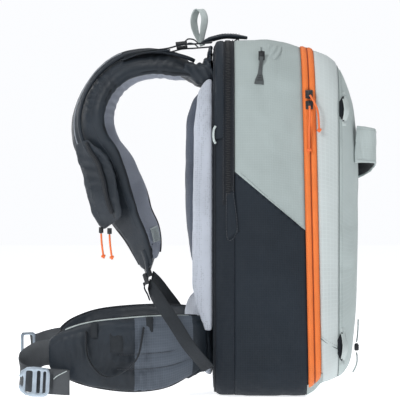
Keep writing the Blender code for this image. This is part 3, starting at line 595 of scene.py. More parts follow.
def stitches(name, path, out, finish, body, pitch=THREAD_PITCH, thread=0.00042):
    """A row of stitches along ready-made points: short threads that dip into the cloth."""
    path = np.asarray(path, float)
    out = np.tile(unit(out), (len(path), 1)) if np.ndim(out) == 1 else unit(out)
    along = np.concatenate([[0.0], np.cumsum(np.linalg.norm(np.diff(path, axis=0), axis=1))])
    points, faces = [], []
    for start in np.arange(pitch * 0.2, along[-1] - pitch * 0.75, pitch):
        spots = [start, start + pitch * 0.18, start + pitch * 0.52, start + pitch * 0.70]
        heights = [-0.7, 0.7, 0.7, -0.7]
        middle = np.array([[np.interp(s, along, path[:, k]) for k in range(3)] for s in spots])
        normal = unit(np.array([np.interp(spots[1], along, out[:, k]) for k in range(3)]))
        way = unit(middle[-1] - middle[0])
        side = np.cross(way, normal)
        base = len(points)
        for spot, height in zip(middle, heights):
            centre = spot + normal * height * thread
            points += [centre + side * thread, centre + normal * thread, centre - side * thread]
        for k in range(3):
            for c in range(3):
                d = (c + 1) % 3
                faces.append([base + 3 * k + c, base + 3 * k + d, base + 3 * k + 3 + d, base + 3 * k + 3 + c])
        faces.append([base, base + 2, base + 1])
        faces.append([base + 9, base + 10, base + 11])
    return dress(new_piece(name, points, faces, None, True), finish, body)


print("helpers ready")

# %% [markdown]
# The free cords come first, because their length is fixed before anything is built around them.
# This pack has six short ones: four orange zip pulls and the two grey tails of the cord lock on
# the front. Each is a braided cord of 2.5 or 3 mm that hangs limp under its own weight; the four
# orange pulls end in an overhand knot. The route's points are the ones that the mechanical model uses.

# %% Cord pulls
ZIP_X, ZIP_HALF, ZIP_LEAN = 0.0672, 0.0095, 0.0112
BACK_X, SEAM_X, GUSSET_X = -0.078, -0.0465, 0.1075


def overhand_knot(name, centre, way, size, thread):
    """A knot: a tube wound three times round its own middle."""
    way = unit(way)
    side = unit(np.cross(way, (0.2, 1.0, 0.3)))
    up = np.cross(way, side)
    path = []
    for t in np.linspace(0, math.tau, 40):
        a = (math.sin(t) + 2 * math.sin(2 * t)) * size
        b = (math.cos(t) - 2 * math.cos(2 * t)) * size
        c = -math.sin(3 * t) * size * 1.1
        path.append(np.array(centre) + side * a + up * b * 0.8 + way * c)
    return tube(name, path, thread, 8)


def cord_piece(name, points, diameter, finish, body, node, knot=True):
    count = max(16, int(np.sum(np.linalg.norm(np.diff(np.array(points), axis=0), axis=1)) / 0.002))
    path = smooth_line(points, count)
    piece = tube(name, path, diameter / 2, 12)
    dress(piece, finish, body, [node])
    if knot:
        way = path[-1] - path[-4]
        tied = overhand_knot(name + "_knot", path[-1] - unit(way) * 0.0035, way, 0.00085, 0.0013)
        dress(tied, finish, body)
    return piece


def slide_place(node):
    low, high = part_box(node)
    return np.array((low + high) / 2)


CORD = 0.0030
x, y, z = slide_place("main_slider_lower")
out = y - 0.0052
cord_piece("pull_cord_lower", [(x, out, z - 0.0010), (x + 0.0005, out - 0.001, z - 0.018),
                               (x - 0.0005, out - 0.0005, z - 0.036), (x, out, z - 0.069)],
           CORD, orange_cord_finish, "lower_zip_slider", "main_pull_lower")
x, y, z = slide_place("main_slider_upper")
out = y - 0.0052
cord_piece("pull_cord_upper", [(x + 0.0010, out, z - 0.0010), (x + 0.0085, out - 0.001, z - 0.014),
                               (x + 0.0130, out - 0.001, z - 0.028), (x + 0.0150, out, z - 0.056)],
           CORD, orange_cord_finish, "upper_zip_slider", "main_pull_upper")
for k in (1, 2):
    x, y, z = slide_place(f"pocket_slider_{k}")
    cord_piece(f"pocket_cord_{k}", [(x, y, z - 0.0050), (x + 0.0008, y, z - 0.018),
                                    (x + 0.0022, y, z - 0.030), (x + 0.0040, y, z - 0.0420)],
               CORD, orange_cord_finish, f"pocket_zip_slider_{k}", f"pocket_pull_{k}")
y = -0.0385
cord_piece("lock_cord_upper", [(0.1400, y, 0.0745), (0.1412, y + 0.001, 0.0820), (0.1420, y + 0.003, 0.0900),
                               (0.1424, y + 0.002, 0.0980), (0.1424, y - 0.002, 0.1090)],
           0.0025, grey_cord_finish, "front_lid", "tie_cord_upper", False)
cord_piece("lock_cord_lower", [(0.1400, y, 0.0590), (0.1408, y - 0.001, 0.0520), (0.1405, y - 0.002, 0.0440),
                               (0.1380, y - 0.001, 0.0360), (0.1345, y + 0.001, 0.0290)],
           0.0025, grey_cord_finish, "front_lid", "tie_cord_lower", False)

# %% [markdown]
# The bag is a sewn shell. Seen along X it is a rounded rectangle, and its height, width and
# roundness change from the back to the front. One formula gives that ring of points at any depth,
# so every panel, zip tape and piping on the bag can be cut from the same surface and will meet
# its neighbour along one seam.

# %% The bag's surface
TOP_LINE = ((-0.078, 0.514), (-0.073, 0.5245), (-0.062, 0.5275), (-0.036, 0.5295), (0.003, 0.5295),
            (0.024, 0.5255), (0.050, 0.520), (0.067, 0.517), (0.091, 0.507), (0.104, 0.498),
            (0.1155, 0.480), (0.126, 0.457), (0.133, 0.436), (0.1365, 0.417), (0.1386, 0.401),
            (0.1415, 0.331))
BOTTOM_LINE = ((-0.078, 0.010), (-0.073, 0.003), (-0.067, 0.0), (0.060, 0.0), (0.0726, 0.008),
               (0.082, 0.018), (0.0965, 0.0235), (0.109, 0.0275), (0.1155, 0.032), (0.125, 0.043),
               (0.130, 0.054), (0.132, 0.070), (0.1358, 0.117), (0.1377, 0.136), (0.1386, 0.213),
               (0.1415, 0.289))
HALF_WIDTH = ((-0.078, 0.128), (-0.073, 0.1355), (-0.062, 0.1400), (-0.030, 0.1435), (0.010, 0.1455),
              (0.060, 0.1440), (0.090, 0.1395), (0.1079, 0.1340), (0.1155, 0.1290), (0.122, 0.1230),
              (0.128, 0.1150), (0.1325, 0.1060), (0.136, 0.0950), (0.1386, 0.0820), (0.1415, 0.0500))
TOP_RADIUS, BOTTOM_RADIUS = 0.058, 0.042
FLAT, CORNER, SIDE = 12, 10, 60         # points along a ring's flats, corners and sides
HALF_RING = 2 * FLAT + 2 * CORNER + SIDE
RING = 2 * HALF_RING


def lean(z):
    """How far the zip line stands forward of its middle height at this height."""
    return ZIP_LEAN * (0.26 - z) / 0.507


def taper(z):
    """The bag narrows towards its top, and a little towards its base."""
    z = np.asarray(z, float)
    return np.where(z > 0.30, 1.0 - 0.15 * ((z - 0.30) / 0.23) ** 2, 1.0 - 0.05 * ((0.30 - z) / 0.30) ** 2)


def read_line(line, x):
    return float(np.interp(x, [p[0] for p in line], [p[1] for p in line]))


def ring(x, out=0.0, share=0.0):
    """The bag's ring at depth x, out metres outside the cloth; share is how much it leans."""
    high = read_line(TOP_LINE, x + share * lean(0.52)) + out
    low = read_line(BOTTOM_LINE, x + share * lean(0.0)) - out
    half = read_line(HALF_WIDTH, x) + out
    most = 0.46 * (high - low)
    top_r = min(TOP_RADIUS + out, most, 0.8 * half)
    low_r = min(BOTTOM_RADIUS + out, most, 0.8 * half)
    bend = np.arange(CORNER) / CORNER * math.pi / 2
    y = np.concatenate([np.linspace(0, half - low_r, FLAT, endpoint=False),
                        half - low_r + low_r * np.sin(bend), np.full(SIDE, half),
                        half - top_r + top_r * np.cos(bend), np.linspace(half - top_r, 0, FLAT + 1)])
    z = np.concatenate([np.full(FLAT, low), low + low_r - low_r * np.cos(bend),
                        np.linspace(low + low_r, high - top_r, SIDE, endpoint=False),
                        high - top_r + top_r * np.sin(bend), np.full(FLAT + 1, high)])
    y = np.concatenate([y, -y[-2:0:-1]])
    z = np.concatenate([z, z[-2:0:-1]])
    return np.stack([x + share * lean(z), y * taper(z), z], axis=1)


def side_y(x, z, out=0.0):
    """The left wall's y at this depth and height, out metres outside the cloth."""
    left = ring(x)[HALF_RING + FLAT:RING - FLAT + 1]
    return float(np.interp(z, left[::-1, 2], left[::-1, 1])) - out


def spread(stations, step):
    """More stations between the given (x, share) ones, about step apart."""
    made = [stations[0]]
    for (x0, s0), (x1, s1) in zip(stations, stations[1:]):
        count = max(1, round(abs(x1 - x0) / step))
        made += [(x0 + (x1 - x0) * k / count, s0 + (s1 - s0) * k / count) for k in range(1, count + 1)]
    return made


def outwards(rows):
    """The way out of the cloth at each point of closed rows that run from back to front."""
    along = np.gradient(rows, axis=0)
    around = np.roll(rows, -1, axis=1) - np.roll(rows, 1, axis=1)
    return unit(np.cross(around, along))


def bumps(points, size, seed):
    """Smooth noise from -1 to 1 at each point; size is the width of its humps."""
    flat = np.asarray(points, float).reshape(-1, 3) / size + seed
    return np.array([noise.noise(Vector(p)) for p in flat]).reshape(np.shape(points)[:-1])


def sew(rows, crown=0.0016, wrinkle=0.0012, pucker=0.0004, seed=0.0):
    """Cloth between two seams: it crowns, wrinkles a little, and puckers beside the seams."""
    out = outwards(rows)
    share = np.linspace(0, 1, len(rows))[:, None]
    wide = float(np.linalg.norm(np.diff(rows, axis=0), axis=2).mean(axis=1).sum())
    from_seam = np.minimum(share, 1 - share) * wide
    free = step_up(from_seam, 0.0, 0.018)
    amount = crown * np.sin(math.pi * share) ** 0.6
    amount = amount + wrinkle * free * (bumps(rows, 0.055, seed) + 0.45 * bumps(rows, 0.019, seed + 7.0))
    ripple = bumps(rows * (0.3, 1.0, 1.0), 0.009, seed + 3.0)
    amount = amount + pucker * step_up(from_seam, 0.0, 0.002) * (1 - step_up(from_seam, 0.004, 0.016)) * ripple
    return rows + out * np.broadcast_to(amount[..., None] if np.ndim(amount) == 2 else amount, rows.shape)


def above_floor(rows):
    rows[..., 2] = np.maximum(rows[..., 2], 0.0003)
    return rows


print("ring of", RING, "points; side at mid height", round(side_y(0.0, 0.26), 4))

# %% [markdown]
# The rear compartment holds the folded airbag. It is a shallow tray of dark ripstop: a flat back
# wall that lies against the wearer, a tight turn, and a side band that ends at the burst zip.
# Black piping stiffens the turn. The back wall is the same ring drawn in towards its middle, so
# tray and band are one skin with no seam to hide.

# %% Rear compartment
back_ring = ring(BACK_X)
middle = np.array([BACK_X, 0.0, 0.262])
wall = [middle + (back_ring - middle) * share for share in (0.0005, 0.04, 0.25, 0.5, 0.72, 0.88, 0.965)]
band = np.array([ring(x, 0, s) for x, s in spread([(BACK_X, 0), (-0.0755, 0), (-0.073, 0), (-0.0695, 0),
                                                   (-0.0655, 0), (-0.0469, 0)], 0.0031)])
band = sew(band, 0.0006, 0.0016, 0.0006, 2.0)
rear = skin("rear_compartment", above_floor(np.concatenate([wall, band])), ends=False)
refine(rear)
dress(rear, airbag_cloth, "pack", ["airbag_compartment"])
edge = ring(-0.0750, 0.0006)
piping = tube("back_piping", np.vstack([edge, edge[:2]]), 0.0017, 8)
dress(piping, binding_cloth, "pack")
print("rear band", band.shape)


# %% [markdown]
# The burst zip lets the airbag out: its chunky teeth part under pressure. It runs from one
# shoulder, over the top, to the other, and its slider is parked under a fabric garage at each
# end. Each tooth is a small moulded block, so the row is made by placing one block shape at even
# steps along the ring, with its normal taken from the ring's own surface.


# %% Burst zip
def ring_run(x, first, last, out=0.0, share=0.0, step=0.0025):
    """Even steps along the bag's ring between two of its points: places, and the way out."""
    loop = ring(x, out, share)[first:last + 1]
    far = ring(x, out + 0.004, share)[first:last + 1]
    along = np.concatenate([[0.0], np.cumsum(np.linalg.norm(np.diff(loop, axis=0), axis=1))])
    wanted = np.arange(0.0, along[-1], step)
    spots = np.stack([np.interp(wanted, along, loop[:, k]) for k in range(3)], axis=1)
    tips = np.stack([np.interp(wanted, along, far[:, k]) for k in range(3)], axis=1)
    return spots, unit(tips - spots)


def teeth(name, spots, out, size, lift, stagger=0.0, across=(1.0, 0.0, 0.0)):
    """Zip teeth: one small bevelled block at each spot, every second one shifted across."""
    base = block("tooth", (0, 0, 0), (1, 1, 1), bevel=0.16, segments=1)
    shape = np.array([v.co for v in base.data.vertices])
    quads = [list(p.vertices) for p in base.data.polygons]
    bpy.data.objects.remove(base)
    ways = headings(spots)
    points, faces = [], []
    for i, (spot, normal, way) in enumerate(zip(spots, out, ways)):
        side = unit(np.array(across) - way * np.dot(across, way))
        shift = side * stagger * (1 if i % 2 else -1)
        start = len(points)
        frame_of = np.stack([side * size[0], way * size[1], normal * size[2]])
        points += list(spot + shift + normal * lift + shape @ frame_of)
        faces += [[start + k for k in quad] for quad in quads]
    return new_piece(name, points, faces, None, True)


def zip_tape(name, x0, x1, first, last, out, share=0.0, dome=0.0, body="pack", finish=None,
             stands_for=(), steps=7):
    """A band on the bag's surface between depths x0 and x1; dome is how far its middle stands up."""
    rows = []
    for k in range(steps):
        t = k / (steps - 1)
        lift = out + dome * math.sin(math.pi * t) ** 0.7
        rows.append(ring(x0 + (x1 - x0) * t, lift, share)[first:last + 1])
    low = [ring(x0 + (x1 - x0) * k / 2, out - 0.0012, share)[first:last + 1] for k in (2, 1, 0)]
    rows = np.array(rows + low).transpose(1, 0, 2)
    return dress(skin(name, rows, turn=True), finish, body, stands_for)


BURST_FIRST = FLAT + CORNER + round(0.565 * SIDE)
BURST_LAST = RING - BURST_FIRST
zip_tape("burst_zip_tape", -0.0645, -0.0470, BURST_FIRST, BURST_LAST, 0.0009, 0, 0.0004,
         finish=binding_cloth, stands_for=["burst_zip"])
spots, out = ring_run(-0.0560, BURST_FIRST, BURST_LAST, 0.0012, 0, 0.0027)
dress(teeth("burst_zip_teeth", spots, out, (0.0062, 0.0014, 0.0016), 0.0006, 0.0007), black_plastic,
      "pack")
for x in (-0.0632, -0.0484):
    row, normals = ring_run(x, BURST_FIRST, BURST_LAST, 0.0022, 0, 0.006)
    stitches(f"burst_stitches_{'back' if x < -0.055 else 'front'}", row, normals, dark_mesh, "pack", 0.0036)
print("teeth on the burst zip:", len(spots))


def side_patch(name, corners, lift, finish, body="pack", bulge=0.0, sign=-1, steps=10):
    """A patch sewn on the bag's side, spanned between four (x, z) corners, going round."""
    (a, b, c, d) = [np.array(p) for p in corners]
    top, low = [], []
    for i in range(steps + 1):
        u = i / steps
        top_row, low_row = [], []
        for k in range(steps + 1):
            v = k / steps
            x, z = (a * (1 - u) + b * u) * (1 - v) + (d * (1 - u) + c * u) * v
            rise = lift + bulge * (math.sin(math.pi * u) * math.sin(math.pi * v)) ** 0.6
            rise -= lift * 0.7 * (1 - min(1.0, 12 * min(u, 1 - u, v, 1 - v)))
            y = side_y(x, z, rise)
            top_row.append((x, y * -sign, z))
            low_row.append((x, side_y(x, z, 0.0) * -sign, z))
        top.append(top_row)
        low.append(low_row)
    rows = np.concatenate([np.array(top), np.array(low)[:, ::-1]], axis=1)
    return dress(skin(name, rows, turn=sign > 0), finish, body)


def side_line(points, out=0.0, count=40, sign=-1):
    """A smooth line on the bag's side through (x, z) points."""
    flat = smooth_line([(x, 0.0, z) for x, z in points], count)
    return np.array([(x, side_y(x, z, out) * -sign, z) for x, _, z in flat])


for side, sign in (("left", -1), ("right", 1)):
    corners = ((-0.0600, 0.3060), (-0.0470, 0.3060), (-0.0400, 0.2450), (-0.0585, 0.2300))
    side_patch(f"zip_garage_{side}", corners, 0.0022, navy_cloth, sign=sign, bulge=0.0016)
    outline = [(-0.0588, 0.303), (-0.0574, 0.236), (-0.0430, 0.2478), (-0.0486, 0.303)]
    stitches(f"garage_stitches_{side}", side_line(outline, 0.0042, 60, sign), (0, sign, 0), dark_mesh, "pack")

# %% [markdown]
# The main compartment is a wide band of cloth. A diagonal seam on each side splits it into a
# pale upper panel and a dark lower one, which hides dirt. Rather than model two patches that
# might not meet, the whole band is made once and then cut along the plane of the seam: each half
# keeps its side, and both share the same edge. A second skin inside is the lining.

# %% Main panels
SEAM_HIGH, SEAM_LOW = (-0.0420, 0.330), (0.0580, 0.247)
WALL = 0.0026


def lined(piece, finish, lining, thick=WALL):
    """Thickness inwards, with the lining on the inner face and round the rim."""
    depth = piece.modifiers.new("lining", "SOLIDIFY")
    depth.thickness = thick
    depth.offset = -1.0
    depth.material_offset = 1
    depth.material_offset_rim = 1
    piece.data.materials.append(lining)
    return piece


def cut_band(name, rows, keep_above):
    piece = skin(name, rows, ends=False)
    bm = bmesh.new()
    bm.from_mesh(piece.data)
    slope = Vector((SEAM_HIGH[1] - SEAM_LOW[1], 0.0, SEAM_LOW[0] - SEAM_HIGH[0])).normalized()
    bmesh.ops.bisect_plane(bm, geom=bm.verts[:] + bm.edges[:] + bm.faces[:], dist=1e-6,
                           plane_co=(SEAM_HIGH[0], 0.0, SEAM_HIGH[1]), plane_no=slope,
                           clear_inner=keep_above, clear_outer=not keep_above)
    bm.to_mesh(piece.data)
    bm.free()
    return piece


stations = spread([(SEAM_X, 0.0), (-0.015, 0.3), (0.020, 0.7), (0.0573, 1.0)], 0.0046)
rows = above_floor(sew(np.array([ring(x, 0, s) for x, s in stations]), 0.0022, 0.0027, 0.0009, 11.0))
upper = cut_band("main_panel_upper", rows, True)
lower = cut_band("main_panel_lower", rows, False)
print("normal of the seam cut: upper", len(upper.data.polygons), "lower", len(lower.data.polygons))
for piece, finish, slot in ((upper, pale_cloth, "pale_fabric"), (lower, navy_cloth, "navy_fabric")):
    dress(piece, finish, "pack", ["main_compartment"])
    lined(piece, finish, lining_cloth)
for side, sign in (("left", -1), ("right", 1)):
    shift = 0.0022
    for k, finish in ((1, pale_cloth), (-1, navy_cloth)):
        edge = [(SEAM_HIGH[0] + 0.004, SEAM_HIGH[1] + k * shift), (0.008, 0.2885 + k * shift),
                (SEAM_LOW[0] - 0.003, SEAM_LOW[1] + k * shift)]
        line = side_line(edge, 0.0024, 70, sign)
        if k > 0:
            stitches(f"seam_stitches_{side}", line, (0, sign, 0), pale_band, "pack", 0.0034)
divider = block("divider_wall", (-0.0430, 0, 0.2525), (0.0016, 0.246, 0.412), bevel=0.0006)
dress(divider, lining_cloth, "pack", ["divider_panel"])
pocket = block("divider_pocket", (-0.0412, 0, 0.175), (0.0012, 0.226, 0.220), bevel=0.0005)
dress(pocket, dark_mesh, "pack")
hem = strip("divider_pocket_hem", [(-0.0402, -0.112, 0.284), (-0.0396, 0.0, 0.280), (-0.0402, 0.112, 0.284)],
            0.012, 0.0012, (0, 0, 1), 30)
dress(hem, orange_band, "pack")

# %% [markdown]
# The main zip opens the front like a suitcase. Its two tapes are coated, water-repelling and
# domed, and they meet over the coil in one darker line. Each tape belongs to a different body:
# one to the bag, one to the lid. So each tape is its own band, with half of the groove.

# %% Main zip
ZIP_FIRST = FLAT + CORNER // 2
ZIP_LAST = RING - ZIP_FIRST
for name, x0, x1, body, node in (("main_zip_back", ZIP_X - ZIP_HALF, ZIP_X - 0.0003, "pack",
                                  "main_zip_tape_body"),
                                 ("main_zip_front", ZIP_X + 0.0003, ZIP_X + ZIP_HALF, "front_lid",
                                  "main_zip_tape_lid")):
    zip_tape(name, x0, x1, ZIP_FIRST, ZIP_LAST, 0.0005, 1, 0.0019, body, orange_band, [node], 9)
dark_orange = woven_band("zip_groove", (0.52, 0.085, 0.02), rib=0.0012, contrast=0.15)
spots, out = ring_run(ZIP_X, ZIP_FIRST, ZIP_LAST, 0.0006, 1, 0.0016)
dress(teeth("main_zip_coil", spots, out, (0.0017, 0.0010, 0.0016), 0.0003), dark_orange, "pack")
row, normals = ring_run(ZIP_X - ZIP_HALF + 0.0012, ZIP_FIRST, ZIP_LAST, 0.0016, 1, 0.006)
stitches("zip_stitches_back", row, normals, orange_cord_finish, "pack", 0.0034, 0.0003)
row, normals = ring_run(ZIP_X + ZIP_HALF - 0.0012, ZIP_FIRST, ZIP_LAST, 0.0016, 1, 0.006)
stitches("zip_stitches_front", row, normals, orange_cord_finish, "front_lid", 0.0034, 0.0003)
print("coil turns:", len(spots))

# %% [markdown]
# The lid is the front panel with a lighter gusset sewn round it. The panel's face is closed with
# rings that shrink towards its middle. Where the lid's floor meets the bag's floor there is no
# zip: the cloth itself is the hinge, so that strip is one piece.

# %% Lid panels
stations = spread([(ZIP_X + ZIP_HALF + 0.0004, 1.0), (0.085, 0.8), (0.094, 0.4), (GUSSET_X, 0.0)], 0.0034)
rows = above_floor(sew(np.array([ring(x, 0, s) for x, s in stations]), 0.0014, 0.0011, 0.0004, 21.0))
gusset = skin("lid_gusset_panel", rows, ends=False)
dress(gusset, gusset_cloth, "front_lid", ["lid_gusset"])
lined(gusset, gusset_cloth, lining_cloth)
nose = (GUSSET_X + 0.0004, 0.1085, 0.1100, 0.1125, 0.1155, 0.1185, 0.1220, 0.1252, 0.1280, 0.1304, 0.1325,
        0.1343, 0.1360, 0.1374, 0.1386, 0.1396, 0.1405)
rows = [ring(x) for x in nose]
tip = ring(0.1411)
centre = np.array([0.1413, 0.0, tip[:, 2].mean()])
rows += [centre + (tip - centre) * share for share in (1.0, 0.75, 0.5, 0.25, 0.06, 0.0005)]
rows = np.array(rows)
out = outwards(rows)
out[-7:] = (1.0, 0.0, 0.0)
from_edge = np.minimum(1.0, np.arange(len(rows)) / 3.0)[:, None]
creases = sum(0.0012 * np.exp(-((rows[..., 2] - z - 0.08 * (rows[..., 0] - 0.12)) / 0.0035) ** 2)
              for z in (0.252, 0.190))
lift = from_edge * (0.0016 * bumps(rows, 0.060, 31.0) + 0.0008 * bumps(rows, 0.018, 35.0) - creases)
lift[0] -= 0.0012
rows = above_floor(rows + out * lift[..., None])
front = skin("front_panel_shell", rows, ends=False)
refine(front)
dress(front, front_cloth_painted_light, "front_lid", ["front_panel"])
lined(front, front_cloth_painted_light, lining_cloth)
edge = ring(GUSSET_X, -0.0004)
seam = tube("gusset_seam", np.vstack([edge, edge[:2]]), 0.0008, 6)
seam_shade = plain_cloth("seam_shade", (0.13, 0.16, 0.16))
dress(seam, seam_shade, "front_lid")
row, normals = ring_run(GUSSET_X + 0.0050, ZIP_FIRST, ZIP_LAST, 0.0008, 0, 0.006)
stitches("front_stitches", row, normals, pale_band, "front_lid", 0.0036, 0.0003)
HINGE_X, HINGE_Z = 0.0720, 0.0070
rows = []
for k in range(13):
    t = k / 12
    x = ZIP_X - ZIP_HALF - 0.0022 + (2 * ZIP_HALF + 0.0050) * t
    below = 0.0008 * math.sin(math.pi * t)
    rows.append([(px, py, pz - below) for px, py, pz in
                 np.vstack([ring(x, 0.0006, 1)[RING - ZIP_FIRST - 1:], ring(x, 0.0006, 1)[:ZIP_FIRST + 2]])])
hinge_cloth = skin("hinge_cloth", above_floor(np.array(rows)), closed=False, ends=False)
hinge_cloth.data.materials.append(pale_cloth)
lined(hinge_cloth, pale_cloth, lining_cloth, 0.0012)
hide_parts("lid_hinge_strip")
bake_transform(hinge_cloth)
print("lid panels made")

# %% [markdown]
# The pads are foam in a sewn cover, and foam pushes its cover into soft, tight humps. Blender's
# cloth solver does that well: the plain pad is remeshed into even quads, given a little inner
# pressure and stepped for twenty frames, and how far each point may travel is capped. Only the
# swelling is kept in full, because a free cover also shrinks away from its ends. The sewn channels come afterwards, because the remesh would wipe them out: each is a soft groove pressed
# in along a line.


# %% Padding by cloth simulation
def puff(piece, voxel=0.005, pressure=4.0, cap=0.006, hold=None):
    """Swell a closed pad; without a voxel size its own quads are kept. hold gives, for each
    point, how free it is to move, from 0 to 1."""
    if voxel:
        remesh = piece.modifiers.new("remesh", "REMESH")
        remesh.mode = "VOXEL"
        remesh.voxel_size = voxel
        graph = bpy.context.evaluated_depsgraph_get()
        piece.data = bpy.data.meshes.new_from_object(piece.evaluated_get(graph))
        piece.modifiers.clear()
    mesh = piece.data
    rest = np.array([v.co for v in mesh.vertices])
    cloth = piece.modifiers.new("cover", "CLOTH")
    cloth.settings.quality = 5
    cloth.settings.mass = 0.3
    cloth.settings.use_pressure = True
    cloth.settings.uniform_pressure_force = pressure
    cloth.settings.effector_weights.gravity = 0.0
    cloth.collision_settings.use_collision = False
    for step in range(1, 21):
        scene.frame_set(step)
    graph = bpy.context.evaluated_depsgraph_get()
    swollen = np.array([v.co for v in piece.evaluated_get(graph).data.vertices])
    piece.modifiers.clear()
    scene.frame_set(1)
    travel = swollen - rest
    normals = normals_of(piece)
    travel = normals * np.maximum(np.sum(travel * normals, axis=1, keepdims=True), 0.0)
    far = np.linalg.norm(travel, axis=1, keepdims=True)
    travel *= np.minimum(1.0, cap / np.maximum(far, 1e-9))
    if hold is not None:
        travel *= hold(rest)[:, None]
    mesh.vertices.foreach_set("co", (rest + travel).astype(np.float32).ravel())
    mesh.shade_smooth()
    print(f"{piece.name}: {len(rest)} points, moved up to {1000 * np.linalg.norm(travel, axis=1).max():.1f} mm")
    return piece


def harden(piece, levels=1):
    """Apply one subdivision, so that later grooves have points to bend."""
    refine(piece, levels)
    graph = bpy.context.evaluated_depsgraph_get()
    piece.data = bpy.data.meshes.new_from_object(piece.evaluated_get(graph))
    piece.modifiers.clear()
    piece.data.shade_smooth()
    return piece


def points_of(piece):
    flat = np.zeros(len(piece.data.vertices) * 3)
    piece.data.vertices.foreach_get("co", flat)
    return flat.reshape(-1, 3)


def normals_of(piece):
    return np.array([v.normal for v in piece.data.vertices])


def move_points(piece, offset):
    piece.data.vertices.foreach_set("co", (points_of(piece) + offset).astype(np.float32).ravel())
    piece.data.update()


def press(piece, line, depth, width):
    """Press a sewn channel into a pad along a line of points."""
    spots = points_of(piece)
    line = np.asarray(line)
    near = np.min(np.linalg.norm(spots[:, None, :] - line[None], axis=2), axis=1)
    move_points(piece, -normals_of(piece) * (depth * np.exp(-(near / width) ** 2))[:, None])


def crumple(piece, height, size, seed, weight=None):
    spots = points_of(piece)
    lift = height * (bumps(spots, size, seed) + 0.4 * bumps(spots, size * 0.35, seed + 5.0))
    if weight is not None:
        lift = lift * weight(spots)
    move_points(piece, normals_of(piece) * lift[:, None])


def folds(piece, centre, way, height, pitch, reach):
    """A few parallel folds around a place, dying out with distance."""
    spots = points_of(piece) - np.array(centre)
    wander = 0.25 * pitch * bumps(spots, 0.02, 3.0)
    wave = np.cos(math.tau * (spots @ unit(np.array(way, float)) + wander) / pitch)
    fade = np.exp(-(np.linalg.norm(spots, axis=1) / reach) ** 2)
    move_points(piece, normals_of(piece) * (height * wave * fade)[:, None])


# %% [markdown]
# Against the wearer's back lie two thick shaped pads with an air channel between them, a thinner
# mesh rim at each side of the bag, and the lumbar pad. All are covered in spacer mesh. A dark
# piping runs round each pad where its cover is sewn down, and keeps the silhouette crisp.


# %% Back pads
def cushion(name, sections, x0, slope=0.0, sides=26, square=0.62):
    """A pad on the back wall: (height, middle y, width, depth) sections, crowned to the wearer."""
    heights = [s[0] for s in sections]
    rows = []
    for z in np.linspace(heights[0], heights[-1], 34):
        order = np.argsort(heights)
        y, wide, deep = [float(np.interp(z, np.array(heights)[order], np.array([s[k] for s in sections])[order]))
                         for k in (1, 2, 3)]
        angles = np.linspace(0, math.pi, sides)
        crown = deep * np.maximum(0.0, np.sin(angles)) ** square * (1 + slope * np.cos(angles))
        rows.append(np.stack([x0 - crown, y - wide / 2 * np.cos(angles), np.full(sides, z)], axis=1))
    return skin(name, rows)


def flat_back(spots):
    """Points on the bag's back wall stay there; points well off it are free."""
    return step_up(-spots[:, 0], 0.0790, 0.0860)


WALL_X = BACK_X - 0.0005
# The two thick cushions wear a darker copy of the rims' back mesh: painted shade, for the shade that falls on them
# beside the rims.
cushion_mesh_painted_shade = plain_cloth("cushion_mesh_painted_shade", (0.062, 0.076, 0.105), contrast=0.1, grain=0.0026, depth=0.8)
for side, sign in (("left", -1), ("right", 1)):
    shape = [(0.4590, sign * 0.056, 0.026, 0.012), (0.4450, sign * 0.055, 0.046, 0.028),
             (0.4130, sign * 0.055, 0.058, 0.0385), (0.330, sign * 0.056, 0.064, 0.0400),
             (0.260, sign * 0.058, 0.064, 0.0385), (0.205, sign * 0.058, 0.060, 0.032),
             (0.176, sign * 0.057, 0.050, 0.024), (0.163, sign * 0.056, 0.028, 0.011)]
    pad = cushion(f"back_cushion_{side}", shape, WALL_X, 0.0)
    puff(pad, 0.005, 4.0, 0.006, flat_back)
    harden(pad)
    outline = [(WALL_X - 0.0110, y + sign * 0.002 - sign * k * wide * 0.52, z)
               for k in (1, -1) for z, y, wide, _ in shape[1:-1][::k]]
    channel = smooth_line(outline + outline[:1], 160)
    press(pad, channel, 0.0018, 0.0035)
    crumple(pad, 0.0007, 0.030, 41.0 + sign, lambda p: flat_back(p))
    dress(pad, cushion_mesh_painted_shade, "pack", [f"back_pad_{side}"])
    dress(tube(f"back_cushion_piping_{side}", channel + (0.0004, 0, 0), 0.0013, 8), binding_cloth,
          "pack")

    rim_shape = [(0.4720, sign * 0.098, 0.018, 0.008), (0.4560, sign * 0.103, 0.030, 0.021),
                 (0.400, sign * 0.1085, 0.036, 0.0280), (0.300, sign * 0.1105, 0.036, 0.0290),
                 (0.215, sign * 0.1105, 0.034, 0.0300), (0.165, sign * 0.1130, 0.028, 0.0310),
                 (0.128, sign * 0.1185, 0.018, 0.0230), (0.098, sign * 0.1195, 0.013, 0.0120)]
    rim = cushion(f"back_rim_{side}", rim_shape, WALL_X, 0.0, 20)
    puff(rim, 0.0045, 3.0, 0.003, flat_back)
    harden(rim)
    crumple(rim, 0.0006, 0.024, 51.0 + sign, lambda p: flat_back(p))
    dress(rim, mesh_cloth, "pack")

shape = [(0.1540, 0.0, 0.118, 0.014), (0.1420, 0.0, 0.142, 0.034), (0.1150, 0.0, 0.152, 0.0440),
         (0.075, 0.0, 0.150, 0.0350), (0.038, 0.0, 0.130, 0.018), (0.0245, 0.0, 0.104, 0.007)]
lumbar = cushion("lumbar_cushion", shape, WALL_X, 0.0, 34, 0.5)
puff(lumbar, 0.0055, 4.0, 0.005, flat_back)
harden(lumbar)
for z in (0.118, 0.072):
    press(lumbar, [(-0.1180, y, z - 0.004 * math.cos(y * 30)) for y in np.linspace(-0.066, 0.066, 60)], 0.0035, 0.006)
crumple(lumbar, 0.0008, 0.030, 61.0, lambda p: flat_back(p))
dress(lumbar, mesh_cloth, "pack", ["lumbar_pad"])
spine = cushion("air_channel", [(0.455, 0.0, 0.030, 0.0045), (0.30, 0.0, 0.050, 0.0050), (0.165, 0.0, 0.036, 0.0045)],
                WALL_X, 0.0, 16)
dress(spine, dark_mesh, "pack")

